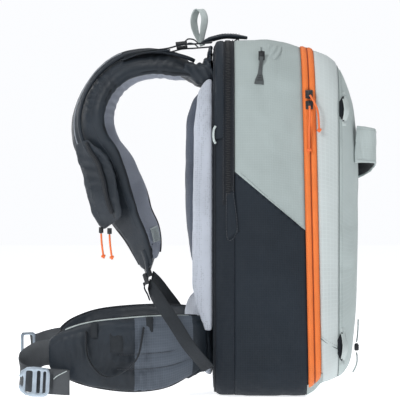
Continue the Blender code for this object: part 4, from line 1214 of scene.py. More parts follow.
# %% [markdown]
# The yoke is the dark panel that the shoulder straps are sewn to, above the back pads. On it sit
# the haul handle, a padded strip for lifting the pack, and the pale ribbon loop that it hangs
# from. The cloth of the yoke is pulled by the straps, so it has strong folds.

# %% Yoke, haul handle and hanging loop
yoke = cushion("yoke_panel", [(0.4630, 0.0, 0.150, 0.005), (0.4720, 0.0, 0.188, 0.0085), (0.4950, 0.0, 0.188, 0.0085),
                              (0.5110, 0.0, 0.180, 0.0080), (0.5220, 0.0, 0.162, 0.005)], WALL_X, 0.0, 60, 0.3)
harden(yoke)
for sign in (-1, 1):
    folds(yoke, (-0.086, sign * 0.080, 0.503), (0.1, -sign * 0.5, 0.8), 0.0016, 0.011, 0.030)
crumple(yoke, 0.0010, 0.022, 71.0)
dress(yoke, navy_cloth, "pack", ["shoulder_yoke"])
for side, sign in (("left", -1), ("right", 1)):
    rows = []
    for k in range(22):
        t = k / 21
        x = -0.0775 + 0.0150 * t
        loop = ring(x, 0.0020 + 0.0022 * math.sin(math.pi * t) ** 0.8)
        run = loop[BURST_FIRST + 14:HALF_RING - 4]
        run = run if sign > 0 else run * (1, -1, 1)
        rows.append(run)
    rows = np.array(rows)
    ridge = np.sin(np.linspace(0, math.pi, rows.shape[1])) ** 0.5
    wave = 0.0010 * bumps(rows, 0.012, 81.0 + sign) * ridge
    rows[..., 0] += wave * 0.6
    rows[..., 1] += sign * wave
    gathered = skin(f"yoke_shoulder_{side}", rows, closed=False, ends=False, turn=sign < 0)
    refine(gathered)
    dress(gathered, navy_cloth, "pack")

grip = strip("haul_grip", [(-0.0960, 0, 0.5290), (-0.0880, 0, 0.5330), (-0.0760, 0, 0.5368), (-0.0600, 0, 0.5398),
                           (-0.0430, 0, 0.5395), (-0.0250, 0, 0.5375)],
             ((0, 0.026), (0.2, 0.032), (0.8, 0.033), (1, 0.030)),
             ((0, 0.0030), (0.25, 0.0075), (0.75, 0.0070), (1, 0.0040)), (0, 1, 0), 44, 1.2)
refine(grip)
crumple(grip, 0.0005, 0.010, 91.0)
dress(grip, pad_cloth, "pack", ["haul_handle"])
for k, y in enumerate((-0.0125, 0.0125)):
    stitches(f"haul_stitches_{k + 1}", smooth_line([(-0.086, y, 0.5372), (-0.060, y, 0.5432), (-0.036, y, 0.5424)], 30),
             (0, 0, 1), dark_mesh, "pack")
for k, (low, high) in enumerate((((-0.0560, 0, 0.5210), (-0.0370, 0, 0.5385)), ((-0.0330, 0, 0.5220), (-0.0395, 0, 0.5380)))):
    middle_point = ((low[0] + high[0]) / 2 - 0.001, 0, (low[2] + high[2]) / 2)
    dress(strip(f"haul_anchor_{k + 1}", [low, middle_point, high], 0.026, 0.0016, (0, 1, 0), 14), dark_band,
          "pack")
anchor = strip("haul_anchor_base", [(-0.0600, 0, 0.5308), (-0.0440, 0, 0.5312), (-0.0270, 0, 0.5305)], 0.028, 0.0016,
               (0, 1, 0), 14)
dress(anchor, dark_band, "pack")

LOOP = [(-0.0925, -0.008, 0.5255), (-0.0945, -0.009, 0.5350), (-0.0925, -0.0085, 0.5500), (-0.0905, -0.007, 0.5660),
        (-0.0935, -0.004, 0.5770), (-0.0990, 0.000, 0.5812), (-0.1040, 0.004, 0.5765), (-0.1070, 0.007, 0.5640),
        (-0.1045, 0.008, 0.5490), (-0.0990, 0.009, 0.5350), (-0.0945, 0.008, 0.5255)]
loop = strip("hang_ribbon", LOOP, ((0, 0.006), (0.25, 0.0115), (0.75, 0.0115), (1, 0.006)), 0.0011, (0.95, 0.4, 0), 90)
dress(loop, pale_band, "hanging_loop", ["hang_loop"])
side, out = frame_line(smooth_line(LOOP, 90), (0.95, 0.4, 0))
for k, sign in enumerate((-1, 1)):
    line = (smooth_line(LOOP, 90) + side * sign * 0.0040 + out * 0.0006)[16:-16]
    stitches(f"hang_ribbon_stitches_{k + 1}", line, out[16:-16], gusset_cloth, "hanging_loop", 0.003, 0.00025)
print("yoke and handles made")

# %% [markdown]
# A shoulder strap is a foam pad in a dark cover, with a soft lavender lining towards the wearer.
# Both follow one curve: out from the yoke, round over the shoulder and down the chest. The pad
# is a closed tube of quads, so it can go to the cloth solver as it is. A binding tape covers the
# seam between cover and lining on both edges, and two sewn channels run down the cover.


# %% Shoulder straps
STRAP_PATH = ((-0.1030, 0.4795), (-0.1200, 0.4905), (-0.1500, 0.4985), (-0.1800, 0.4990),
              (-0.2100, 0.4920), (-0.2350, 0.4740), (-0.2520, 0.4510), (-0.2620, 0.4270),
              (-0.2650, 0.4020), (-0.2590, 0.3760), (-0.2430, 0.3490), (-0.2310, 0.3220),
              (-0.2220, 0.2970), (-0.2100, 0.2670), (-0.1930, 0.2370), (-0.1810, 0.2090),
              (-0.1740, 0.1900))
STRAP_WIDTH = ((0, 0.060), (0.2, 0.068), (0.6, 0.070), (0.8, 0.058), (0.93, 0.038), (0.985, 0.027), (1, 0.016))
STRAP_THICK = ((0, 0.012), (0.08, 0.024), (0.35, 0.026), (0.8, 0.017), (0.95, 0.011), (1, 0.008))
STRAP_COUNT = 100


def strap_frame(sign, count=STRAP_COUNT):
    """A strap's middle line, the way across it, and the way out of its cover."""
    t = np.linspace(0, 1, len(STRAP_PATH))
    y = sign * np.interp(t, (0, 0.25, 0.55, 1), (0.060, 0.072, 0.096, 0.118))
    sag = np.interp(t, (0, 0.3, 0.5, 0.75, 0.9, 1), (0, 0.005, 0.013, 0.021, 0.016, 0.003)) * (sign > 0)
    rise = np.interp(t, (0, 0.6, 0.9, 1), (0, 0, 0.007, 0.003)) * (sign > 0)
    path = smooth_line([(x + dx, py, z + dz) for (x, z), dx, dz, py in zip(STRAP_PATH, sag, rise, y)], count)
    share = np.linspace(0, 1, count)
    turn = np.interp(share, (0, 0.3, 0.6, 1), (0.10, 0.25, 1.0, 0.85) if sign < 0 else (0.10, 0.20, 0.62, 0.60))
    droop = np.interp(share, (0, 0.08, 0.30, 0.48), (-0.25, -0.62, -0.55, 0.0))
    side = np.stack([np.sin(turn), sign * np.cos(turn), droop], axis=1)
    ways = headings(path)
    side = unit(side - ways * np.sum(side * ways, axis=1, keepdims=True))
    return path, side, unit(np.cross(ways, side)) * -sign


def on_strap(sign, first, last, across=0.0, off=0.0, count=60):
    """A line along a strap: across is a share of its half width, off is metres off its middle."""
    path, side, out = strap_frame(sign)
    t = np.linspace(first, last, count)
    half = np.array([at(STRAP_WIDTH, k) / 2 for k in t])
    shares = np.linspace(0, 1, STRAP_COUNT)
    pick = [np.stack([np.interp(t, shares, a[:, k]) for k in range(3)], axis=1) for a in (path, side, out)]
    across = np.array([at(across, k) for k in t])
    off = np.array([at(off, k) for k in t])
    return pick[0] + pick[1] * (across * half)[:, None] + pick[2] * off[:, None]


def quilt(name, path, side, out, width, thick, columns=22, square=0.72):
    """A closed pad along a line: the first half of each row is its cover, the rest its lining."""
    angles = math.tau * np.arange(columns) / columns
    rows = []
    for i, t in enumerate(np.linspace(0, 1, len(path))):
        a = np.sign(np.cos(angles)) * np.abs(np.cos(angles)) ** square * at(width, t) / 2
        b = np.sign(np.sin(angles)) * np.abs(np.sin(angles)) ** square * at(thick, t) / 2
        rows.append(path[i] + side[i] * a[:, None] + out[i] * b[:, None])
    return np.array(rows)


def two_faced(piece, columns, cover, lining, wrap=0):
    """Cover on the first half of every row of faces, and wrap faces round both edges."""
    piece.data.materials.clear()
    piece.data.materials.append(cover)
    piece.data.materials.append(lining)
    for k, face in enumerate(piece.data.polygons):
        face.material_index = int(columns // 2 + wrap <= k % columns < columns - wrap)
    return piece


def zip_slider(name, centre, way, out, size, finish, body, stands_for=()):
    """A slider: a domed body with a waist, a bridge over it and a ring for the pull."""
    way, out = unit(way), unit(out)
    side = np.cross(way, out)
    axes = (side, out, way)
    wide, deep, long = size
    centre = np.array(centre)
    base = block(name + "_base", centre - out * deep * 0.22, (wide, deep * 0.42, long), axes, deep * 0.16, 3)
    nose = block(name + "_nose", centre + way * long * 0.25 + out * deep * 0.05,
                 (wide * 0.86, deep * 0.55, long * 0.42), axes, deep * 0.2, 3)
    arch = [centre - way * long * 0.34 + out * deep * 0.0, centre - way * long * 0.26 + out * deep * 0.44,
            centre + way * long * 0.05 + out * deep * 0.50, centre + way * long * 0.33 + out * deep * 0.3]
    bridge = strip(name + "_bridge", arch, wide * 0.42, deep * 0.15, side, 18)
    angles = np.linspace(0, math.tau, 20)
    hoop = centre - way * long * 0.24 + out * deep * 0.30
    loop = hoop + (np.cos(angles)[:, None] * way * long * 0.28 + np.sin(angles)[:, None] * side * wide * 0.24)
    wire = tube(name + "_wire", loop, deep * 0.075, 8)
    return dress(join(name, [base, nose, bridge, wire]), finish, body, stands_for)


def lay_on(piece, line, out, reach=0.03):
    """The points of `line` moved along `out` onto the piece's outer surface."""
    tree = BVHTree.FromPolygons([v.co.copy() for v in piece.data.vertices],
                                [tuple(p.vertices) for p in piece.data.polygons])
    laid = []
    for spot, way in zip(np.asarray(line), np.asarray(out)):
        hit = tree.ray_cast(Vector(spot + way * reach), Vector(-way), 2 * reach)[0]
        laid.append(spot if hit is None else np.array(hit))
    return np.array(laid)


strap_lining = plain_cloth("strap_lining", (0.34, 0.37, 0.44), contrast=0.1, grain=0.0024, depth=0.8)
# The next finish is the colour of a painted highlight on the left strap's outer edge.
strap_edge_painted_highlight = woven_band("strap_edge_painted_highlight", (0.30, 0.33, 0.37), rib=0.0007)
path_t = np.linspace(0, 1, STRAP_COUNT)
for side_name, sign in (("left", -1), ("right", 1)):
    body = f"shoulder_strap_{side_name}"
    path, side, out = strap_frame(sign)
    columns = 22
    rows = quilt(f"strap_cover_{side_name}", path, side, out, STRAP_WIDTH, STRAP_THICK, columns)
    pad = skin(f"strap_pad_{side_name}", rows, turn=sign < 0)
    two_faced(pad, columns, pad_cloth, strap_lining, 2 if sign < 0 else 0)
    puff(pad, None, 4.0, 0.006, lambda p: np.full(len(p), 0.35))
    harden(pad)
    for share in (-0.42, 0.42):
        press(pad, on_strap(sign, 0.08, 0.92, share, 0.0140, 160), 0.0028, 0.0034)
    press(pad, on_strap(sign, 0.08, 0.80, 0.0, -0.0130, 160), 0.0016, 0.0040)
    for t, way, high, reach in ((0.34, (1, 0, 0.6), 0.0016, 0.020), (0.42, (0.3, 0, 1), 0.0013, 0.018),
                                (0.13, (1, 0, -0.6), 0.0010, 0.022)):
        folds(pad, on_strap(sign, t, t, 0.3, 0.0, 1)[0], way, high, 0.0115, reach)
    crumple(pad, 0.0008, 0.026, 101.0 + sign)
    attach(pad, body)
    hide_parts(f"shoulder_pad_{side_name}")
    for k, share in ((1, -0.92), (2, 0.92 if sign < 0 else 1.0)):
        line = on_strap(sign, 0.02, 0.975, share, 0.0, 130)
        dress(tube(f"strap_binding_{side_name}_{k}", line, 0.0025, 8), binding_cloth, body)
    for k, share in ((1, -0.62), (2, 0.62)):
        line = on_strap(sign, 0.06, 0.88, share, 0.0, 260)
        lift = out[np.minimum(99, (np.linspace(0.06, 0.88, 260) * 99).astype(int))]
        line = lay_on(pad, line, lift)
        stitches(f"strap_stitches_{side_name}_{k}", line, lift,
                 dark_mesh, body, 0.0040)
    if sign < 0:
        left_pad, left_out = pad, out
# A light grey tube along part of the left strap's outer edge is a painted highlight, where the light catches that edge.
highlight = on_strap(-1, 0.24, 0.56, -0.55, 0.0, 90)
highlight = lay_on(left_pad, highlight, left_out[(np.linspace(0.24, 0.56, 90) * 99).astype(int)])
dress(tube("strap_painted_highlight_left", highlight, 0.0012, 8), strap_edge_painted_highlight, "shoulder_strap_left")
print("strap pads made")

# %% [markdown]
# The left strap carries the airbag's trigger. A flat zipped pocket on the cover hides the orange
# handle, and the trigger cable climbs the strap in a narrow fabric sleeve to the bag. The pocket
# stands a little proud of the strap, so it is a thin pad of its own, with a zip down its edge.

# %% Trigger pocket
POCKET_FOOT = np.array((-0.2265, -0.1225, 0.2570))
path = on_strap(-1, 0.54, 0.84, -0.10, 0.0165, 60)
path = path + step_up(np.linspace(0, 1, 60), 0.15, 1.0)[:, None] * (POCKET_FOOT - path[-1])
share = np.linspace(0.54, 0.86, 60) * (STRAP_COUNT - 1)
_, side_all, out_all = strap_frame(-1)
side, out = side_all[share.astype(int)], out_all[share.astype(int)]
pocket_width = ((0, 0.028), (0.15, 0.050), (0.45, 0.060), (0.8, 0.060), (0.94, 0.055), (1, 0.044))
rows = quilt("pocket", path, side, out, pocket_width, ((0, 0.005), (0.25, 0.0125), (0.75, 0.0125), (1, 0.005)), 20)
pocket = skin("trigger_pocket_cover", rows, turn=True)
puff(pocket, None, 3.0, 0.0025)
harden(pocket)
press(pocket, path + side * 0.0120 + out * 0.0066, 0.0016, 0.0022)
folds(pocket, on_strap(-1, 0.63, 0.63, 0.0, 0.022, 1)[0], (0.3, 0.3, 1), 0.0008, 0.013, 0.030)
crumple(pocket, 0.0010, 0.018, 121.0)
dress(pocket, pad_cloth, "shoulder_strap_left", ["trigger_pocket"])
raised = np.array([at(((0, 0.0030), (0.25, 0.0068), (0.75, 0.0068), (1, 0.0034)), t) for t in np.linspace(0, 1, 60)])
zip_line = (path + side * 0.0120 + out * raised[:, None])[2:-2]
dress(strip("pocket_zip_tape", zip_line[::4], 0.0075, 0.0012, tuple(side.mean(axis=0)), 60), binding_cloth,
      "shoulder_strap_left")
lift = np.tile(unit(out.mean(axis=0)), (len(zip_line), 1))
dress(teeth("pocket_zip_coil", zip_line, lift, (0.0018, 0.0009, 0.0010), 0.0007, 0.0, tuple(side.mean(axis=0))),
      black_plastic, "shoulder_strap_left")
for k, share in ((1, -0.0150), (2, 0.0050)):
    line = smooth_line((path + side * share + out * (raised[:, None] - 0.0004))[5:-5:4], 130)
    stitches(f"pocket_stitches_{k}", line, unit(out.mean(axis=0)), dark_mesh, "shoulder_strap_left", 0.0036)
handle_line = (path - out * 0.0008)[20:46:5]
grip = strip("trigger_grip", handle_line, 0.0215, ((0, 0.0036), (0.5, 0.0048), (1, 0.0036)), tuple(side[30]), 30)
dress(grip, orange_band, "trigger", ["trigger_handle"])
sleeve_at = on_strap(-1, 0.03, 0.64, 0.0, ((0, 0.0148), (0.2, 0.0162), (0.75, 0.0160), (1, 0.0170)), 70)
sleeve = tube("cable_sleeve", sleeve_at, 0.0030, 10)
dress(sleeve, pad_cloth, "shoulder_strap_left", ["trigger_cable"])

# %% [markdown]
# Each strap is held twice. Above, the load lifter runs from the yoke through a tri-glide to a
# patch on top of the strap. Below, a 20 mm webbing comes down from the ladder lock to the bag's
# lower corner and takes up length. Both bands are drawn in place, and their ends stay sewn where they are.

# %% Strap webbing and buckles
LOCK = np.array((-0.1770, 0.1810))
ANCHOR = np.array((-0.0880, 0.0430))
for side_name, sign in (("left", -1), ("right", 1)):
    body = f"shoulder_strap_{side_name}"
    y = sign * 0.118
    lock_way = unit((0.32, 0.0, -1.0))
    lock_out = np.array((-lock_way[2], 0.0, lock_way[0])) * -1
    axes = ((0, 1, 0), lock_out, lock_way)
    centre = np.array((LOCK[0] - 0.0008, y, LOCK[1] - 0.0062))
    bars = [block("bar", centre + lock_way * s, (0.028, d, 0.0034), axes, 0.0010, 2)
            for s, d in ((-0.0062, 0.0048), (0.0, 0.0042), (0.0062, 0.0068))]
    bars += [block("cheek", centre + np.array((0, k * 0.0125, 0)), (0.0034, 0.0056, 0.0156), axes, 0.0010, 2)
             for k in (-1, 1)]
    bars.append(block("tongue", centre + lock_way * 0.0068 - lock_out * -0.0048, (0.020, 0.0028, 0.0046), axes, 0.0009, 2))
    dress(join(f"ladder_lock_body_{side_name}", bars), black_plastic, body,
          [f"ladder_lock_{side_name}"])
    low = [(LOCK[0] + 0.0040, y, LOCK[1] - 0.0140), (-0.1560, y + 0.029 * sign, 0.1420),
           (-0.1360, y + 0.0485 * sign, 0.1140), (-0.1130, y + 0.0475 * sign, 0.0780),
           (ANCHOR[0] + 0.0030, y + 0.022 * sign, ANCHOR[1])]
    webbing = strip(f"strap_webbing_{side_name}", low, 0.0195, 0.0017,
                    lambda t: (0.35 + 0.65 * min(1.0, 4 * t), sign * (0.85 - 0.70 * min(1.0, 4 * t)), 0.3), 60)
    webbing.data.materials.append(dark_band)
    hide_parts(f"lower_webbing_{side_name}")
    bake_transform(webbing)
    end = on_strap(sign, 0.94, 0.94, 0.0, 0.0, 1)[0]
    hanger = [end, (end + (LOCK[0] + 0.0020, y, LOCK[1] + 0.002)) / 2 + (0.0, 0, 0.002), (LOCK[0] + 0.0010, y, LOCK[1]),
              (LOCK[0] - 0.0004, y, LOCK[1] - 0.0060)]
    dress(strip(f"lock_hanger_{side_name}", hanger, ((0, 0.024), (1, 0.0200)), ((0, 0.0070), (0.6, 0.0040), (1, 0.0020)),
                lambda t: (0.6 * (1 - t), sign, 0), 24), pad_cloth, body)
    tail = [(LOCK[0] + 0.0010, y, LOCK[1] - 0.0100), (LOCK[0] - 0.0030, y, LOCK[1] - 0.0190),
            (LOCK[0] + 0.0020, y + 0.001 * sign, LOCK[1] - 0.0300), (LOCK[0] + 0.0050, y + 0.002 * sign, LOCK[1] - 0.0380)]
    dress(strip(f"strap_webbing_tail_{side_name}", tail, 0.0190, 0.0016, (0, 1, 0), 24), dark_band, body)
    y = sign * 0.068
    up = [(-0.2120, y + 0.012 * sign, 0.5030), (-0.1850, y + 0.007 * sign, 0.5125), (-0.1480, y, 0.5180),
          (-0.1260, y, 0.5235), (-0.1050, y, 0.5250), (-0.0800, y * 0.96, 0.5270)]
    lifter = strip(f"lifter_webbing_{side_name}", up, 0.0185, 0.0016, (0, 1, 0), 60)
    lifter.data.materials.append(dark_band)
    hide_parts(f"load_lifter_{side_name}")
    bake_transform(lifter)
    patch = strip(f"lifter_patch_{side_name}", [(-0.2140, y + 0.012 * sign, 0.4995), (-0.1850, y + 0.007 * sign, 0.5100),
                                                (-0.1440, y, 0.5155)],
                  0.026, 0.0022, (0, 1, 0), 26)
    dress(patch, pad_cloth, body)
    centre = np.array((-0.1255, y, 0.5262))
    slope = unit((1.0, 0.0, 0.12))
    axes = ((0, 1, 0), np.cross((0, 1, 0), slope) * -1, slope)
    rails = [block("rail", centre + slope * s, (0.0250, 0.0032, 0.0028), axes, 0.0009, 2) for s in (-0.0072, 0.0, 0.0072)]
    rails += [block("end", centre + np.array((0, k * 0.0114, 0)), (0.0028, 0.0040, 0.0172), axes, 0.0009, 2) for k in (-1, 1)]
    dress(join(f"lifter_glide_{side_name}", rails), black_plastic, body, [f"lifter_buckle_{side_name}"])
    free = [(-0.1200, y - 0.003 * sign, 0.5290), (-0.1150, y - 0.003 * sign, 0.5325), (-0.1070, y - 0.002 * sign, 0.5315),
            (-0.1010, y - 0.001 * sign, 0.5270)]
    dress(strip(f"lifter_tail_{side_name}", free, 0.0170, 0.0014, (0, 1, 0), 20), dark_band, body)

    root_line = smooth_line([(-0.0805, sign * 0.060, 0.4830), (-0.0930, sign * 0.061, 0.4800),
                             (-0.1080, sign * 0.061, 0.4835), (-0.1230, sign * 0.062, 0.4905)], 22)
    side, out = frame_line(root_line, (0.1, 1, 0))
    rows = quilt("root", root_line, side, out, ((0, 0.070), (0.4, 0.062), (1, 0.063)),
                 ((0, 0.046), (0.35, 0.034), (0.7, 0.025), (1, 0.022)), 22, 0.6)
    root = skin(f"strap_root_{side_name}", rows)
    harden(root)
    folds(root, (-0.094, sign * 0.070, 0.490), (1, 0, 0.6), 0.0014, 0.010, 0.030)
    crumple(root, 0.0012, 0.016, 131.0 + sign)
    root.data.materials.append(pad_cloth)
    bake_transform(root)
label_at = on_strap(1, 0.885, 0.935, 0.0, ((0, -0.0078), (1, -0.0068)), 8)
path, side, out = strap_frame(1)
dress(strip("strap_label", label_at, 0.019, 0.0008, tuple(side[90]), 12), pale_band, "shoulder_strap_right")
print("strap webbing made")

# %% [markdown]
# The hip belt's wings are wide, curved pads that wrap the hips. Their rear part is ripstop, with
# two horizontal quilting seams, and their front part is a plain knit. A binding runs round the
# edge. Near the bag the cloth is gathered into the lumbar area, so a short soft piece with a few
# fixed folds sits between bag and wing.

# %% Hip belt wings
WING_PATH = ((-0.0900, 0.0960), (-0.1150, 0.1090), (-0.1600, 0.1280), (-0.2100, 0.1400),
             (-0.2550, 0.1410), (-0.2950, 0.1330), (-0.3180, 0.1240))
WING_TOP, WING_LOW = [[tuple(p[:2]) for p in smooth_line([(t, high, 0) for t, high in edge], 70)] for edge in (
    ((0, 0.118), (0.25, 0.121), (0.5, 0.119), (0.75, 0.112), (0.92, 0.098), (1, 0.084)),
    ((0, 0.048), (0.12, 0.030), (0.28, 0.014), (0.5, 0.010), (0.75, 0.018), (0.92, 0.032), (1, 0.046)))]
WING_THICK = ((0, 0.012), (0.12, 0.019), (0.6, 0.019), (0.92, 0.013), (1, 0.007))
wing_knit = plain_cloth("wing_knit", (0.013, 0.020, 0.029), contrast=0.2, rough=0.46, sheen=0.05)
wing_cloth = ripstop_cloth("wing_ripstop", (0.080, 0.097, 0.122), grid=0.0034, line_tone=1.6, contrast=0.14, rough=0.45,
                           sheen=0.1)


def wing_frame(sign, count=64):
    path = smooth_line([(x, sign * y, 0.0) for x, y in WING_PATH], count)
    ways = headings(path)
    out = np.stack([ways[:, 1], -ways[:, 0], np.zeros(count)], axis=1) * sign
    return path, unit(out)


def on_wing(sign, first, last, high, off=0.0, count=60):
    """A line on a wing: high is 0 at its lower edge and 1 at its top."""
    path, out = wing_frame(sign)
    t = np.linspace(first, last, count)
    shares = np.linspace(0, 1, len(path))
    made = []
    for k, s in enumerate(t):
        spot = np.array([np.interp(s, shares, path[:, a]) for a in range(3)])
        way = np.array([np.interp(s, shares, out[:, a]) for a in range(3)])
        h = at(high, k / max(1, count - 1))
        z = at(WING_LOW, s) * (1 - h) + at(WING_TOP, s) * h
        made.append(spot + way * off + (0, 0, z))
    return np.array(made)


for side_name, sign in (("left", -1), ("right", 1)):
    body = f"hip_belt_{side_name}"
    path, out = wing_frame(sign)
    columns = 36
    angles = math.tau * np.arange(columns) / columns
    rows = []
    for i, t in enumerate(np.linspace(0, 1, len(path))):
        high, low = at(WING_TOP, t), at(WING_LOW, t)
        up = np.sign(np.cos(angles)) * np.abs(np.cos(angles)) ** 0.8 * (high - low) / 2 + (high + low) / 2
        deep = np.sign(np.sin(angles)) * np.abs(np.sin(angles)) ** 0.42 * at(WING_THICK, t) / 2
        rows.append(path[i] + out[i] * deep[:, None] + np.stack([0 * up, 0 * up, up], axis=1))
    wing = skin(f"hip_pad_{side_name}", np.array(rows), turn=sign < 0)
    wing.data.materials.append(wing_knit)
    wing.data.materials.append(wing_cloth)
    wing.data.materials.append(pad_cloth)
    for k, face in enumerate(wing.data.polygons):
        outer = k % columns < columns // 2
        behind = 0.10 < k // columns / len(path) < 0.46
        face.material_index = (1 if behind and k < columns * (len(path) - 1) else 0) if outer else 2
    puff(wing, None, 4.0, 0.005)
    harden(wing)
    for high in (0.30, 0.50):
        press(wing, on_wing(sign, 0.10, 0.60, high, 0.0115, 160), 0.0042, 0.0030)
    press(wing, on_wing(sign, 0.465, 0.465, ((0, 0.05), (1, 0.95)), 0.0105, 80), 0.0016, 0.0026)
    press(wing, on_wing(sign, 0.05, 0.97, ((0, 0.90), (1, 0.86)), 0.0105, 200), 0.0018, 0.0026)
    for s, h, way, high, reach in ((0.44, 0.22, (1, 0, 0.2), 0.0016, 0.024), (0.30, 0.70, (0.2, 0, 1), 0.0007, 0.03),
                                   (0.62, 0.45, (1, 0, -0.5), 0.0012, 0.030), (0.84, 0.55, (1, 0, 0.1), 0.0014, 0.022)):
        folds(wing, on_wing(sign, s, s, h, 0.010, 1)[0], way, high, 0.013, reach)
    crumple(wing, 0.0010, 0.024, 141.0 + sign)
    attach(wing, body)
    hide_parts(f"hip_wing_{side_name}")
    top_edge = on_wing(sign, 0.06, 0.99, 1.0, 0.0, 120) - (0, 0, 0.0006)
    low_edge = on_wing(sign, 0.06, 0.99, 0.0, 0.0, 120) + (0, 0, 0.0010)
    front = [top_edge[-1], (top_edge[-1] + low_edge[-1]) / 2 + (-0.0015, 0, 0), low_edge[-1]]
    bind = np.vstack([top_edge, smooth_line(front, 20)[1:-1], low_edge[::-1]])
    dress(tube(f"hip_binding_{side_name}", bind, 0.0026, 8), binding_cloth, body)
    piping_at = top_edge[8:108] + wing_frame(sign, 100)[1] * 0.0032 + (0, 0, 0.0004)
    dress(tube(f"hip_piping_{side_name}", piping_at, 0.0011, 6), pale_band, body)
    for k, high in ((1, 0.30), (2, 0.50)):
        stitches(f"hip_stitches_{side_name}_{k}", on_wing(sign, 0.12, 0.58, high, 0.0098, 130), out[20], dark_mesh,
                 body, 0.0036)
    root_line = smooth_line([(-0.0795, sign * 0.084, 0.0), (-0.0900, sign * 0.0945, 0.0), (-0.1040, sign * 0.1030, 0.0),
                             (-0.1180, sign * 0.1100, 0.0)], 16)
    ways = headings(root_line)
    outs = unit(np.stack([ways[:, 1], -ways[:, 0], np.zeros(16)], axis=1)) * sign
    rows = []
    for i, t in enumerate(np.linspace(0, 1, 16)):
        high, low = at(((0, 0.124), (1, 0.1165)), t), at(((0, 0.040), (0.5, 0.034), (1, 0.0250)), t)
        up = np.sign(np.cos(angles)) * np.abs(np.cos(angles)) ** 0.8 * (high - low) / 2 + (high + low) / 2
        deep = np.sign(np.sin(angles)) * np.abs(np.sin(angles)) ** 0.5 * at(((0, 0.020), (1, 0.0195)), t) / 2
        rows.append(root_line[i] + outs[i] * deep[:, None] + np.stack([0 * up, 0 * up, up], axis=1))
    root = skin(f"hip_root_{side_name}", np.array(rows), turn=sign < 0)
    harden(root)
    crumple(root, 0.0014, 0.018, 151.0 + sign)
    folds(root, (-0.096, sign * 0.108, 0.080), (1, 0, 0.15), 0.0014, 0.012, 0.035)
    root.data.materials.append(wing_knit)
    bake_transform(root)

LOOP_PATH = [(-0.2650, -0.1530, 0.1000), (-0.2620, -0.1600, 0.0620), (-0.2420, -0.1640, 0.0360),
             (-0.2180, -0.1640, 0.0360), (-0.1900, -0.1590, 0.0600), (-0.1800, -0.1490, 0.1050)]
dress(strip("gear_ribbon", LOOP_PATH, 0.0088, 0.0014, (0.2, 1, 0), 60), dark_band, "hip_belt_left",
      ["gear_loop"])
for k, (s, h) in enumerate(((0.715, 0.88), (0.385, 0.90))):
    base = on_wing(-1, s, s, h, 0.0095, 1)[0]
    dress(strip(f"gear_ribbon_end_{k + 1}", [base + (0, -0.002, -0.012), base + (0, -0.0022, 0.0), base + (0, 0.001, 0.010)],
                0.0100, 0.0016, (1, 0.05, 0), 14), dark_band, "hip_belt_left")
spot = on_wing(-1, 0.585, 0.585, 0.66, 0.0110, 1)[0]
tab = strip("belt_tab", [spot + (-0.0005, 0.0005, 0.0150), spot + (0, -0.0020, 0.004), spot + (0.0005, -0.0012, -0.0125)],
            0.0185, 0.0014, (1, 0.04, 0), 18)
dress(tab, dark_band, "hip_belt_left")
print("hip wings made")

# %% [markdown]
# A 38 mm webbing leaves the front of each wing. On the left it turns back on itself outside the
# wing and carries a flat alloy hook buckle: three bars, the outer two round the webbing, and an
# open hook that catches the ring of the right side. Both metal parts tilt on their webbing, so
# each is a separate piece on its own body.

# %% Hip webbing and buckle
y = -0.1240
belt_line = [(-0.3160, y - 0.002, 0.066), (-0.3225, y, 0.066), (-0.3380, y + 0.006, 0.062), (-0.3560, y, 0.050),
             (-0.3620, y - 0.016, 0.038), (-0.3520, y - 0.030, 0.030), (-0.3200, y - 0.035, 0.0265),
             (-0.2920, y - 0.0375, 0.0250)]
dress(strip("belt_webbing_left", belt_line, 0.0375, 0.0018, (0, 0, 1), 90), belt_band, "hip_belt_left",
      ["hip_webbing_left"])
fold = [(-0.3130, y - 0.0372, 0.0260), (-0.3000, y - 0.0402, 0.0250),
        (-0.2905, y - 0.0405, 0.0246), (-0.2893, y - 0.0385, 0.0246), (-0.2915, y - 0.0368, 0.0247)]
dress(strip("belt_webbing_tail", fold, 0.0365, 0.0017, (0, 0, 1), 50), belt_band, "hip_belt_left")
# A pale line along the fold of the webbing tail is a painted highlight on the crease.
crease = [(-0.3120, y - 0.0392, 0.0300), (-0.3060, y - 0.0408, 0.0350), (-0.2925, y - 0.0414, 0.0420)]
dress(tube("belt_tail_painted_highlight", smooth_line(crease, 16), 0.0007, 6), pale_band, "hip_belt_left")
right_line = [(-0.3160, -y + 0.002, 0.066), (-0.3225, -y, 0.066), (-0.3400, -y - 0.004, 0.062),
              (-0.3530, -y - 0.011, 0.058), (-0.3640, -y - 0.0160, 0.0565)]
dress(strip("belt_webbing_right", right_line, 0.0375, 0.0018, (0, 0, 1), 40), belt_band,
      "hip_belt_right", ["hip_webbing_right"])


def plate(name, outline, holes, thick, centre, right, up, bevel=0.0006):
    """A flat metal part: an outline with holes, cut to a thickness and bevelled."""
    right = Vector(right).normalized()
    up = Vector(up)
    up = (up - right * up.dot(right)).normalized()
    out = right.cross(up)
    bm = bmesh.new()
    edges = []
    for loop in [outline] + holes:
        verts = [bm.verts.new((px, py, -thick / 2)) for px, py in loop]
        edges += [bm.edges.new((verts[i], verts[(i + 1) % len(verts)])) for i in range(len(verts))]
    bmesh.ops.triangle_fill(bm, use_beauty=True, use_dissolve=False, edges=edges)
    made = bmesh.ops.extrude_face_region(bm, geom=bm.faces[:])
    for vert in [g for g in made["geom"] if isinstance(g, bmesh.types.BMVert)]:
        vert.co.z += thick
    bmesh.ops.recalc_face_normals(bm, faces=bm.faces)
    for vert in bm.verts:
        vert.co = Vector(centre) + right * vert.co.x + up * vert.co.y + out * vert.co.z
    mesh = bpy.data.meshes.new(name)
    bm.to_mesh(mesh)
    bm.free()
    mesh.uv_layers.new(name="metres")
    piece = bpy.data.objects.new(name, mesh)
    scene.collection.objects.link(piece)
    rounder = piece.modifiers.new("rounder", "BEVEL")
    rounder.width = bevel
    rounder.segments = 2
    rounder.limit_method = "ANGLE"
    mesh.shade_smooth()
    return piece


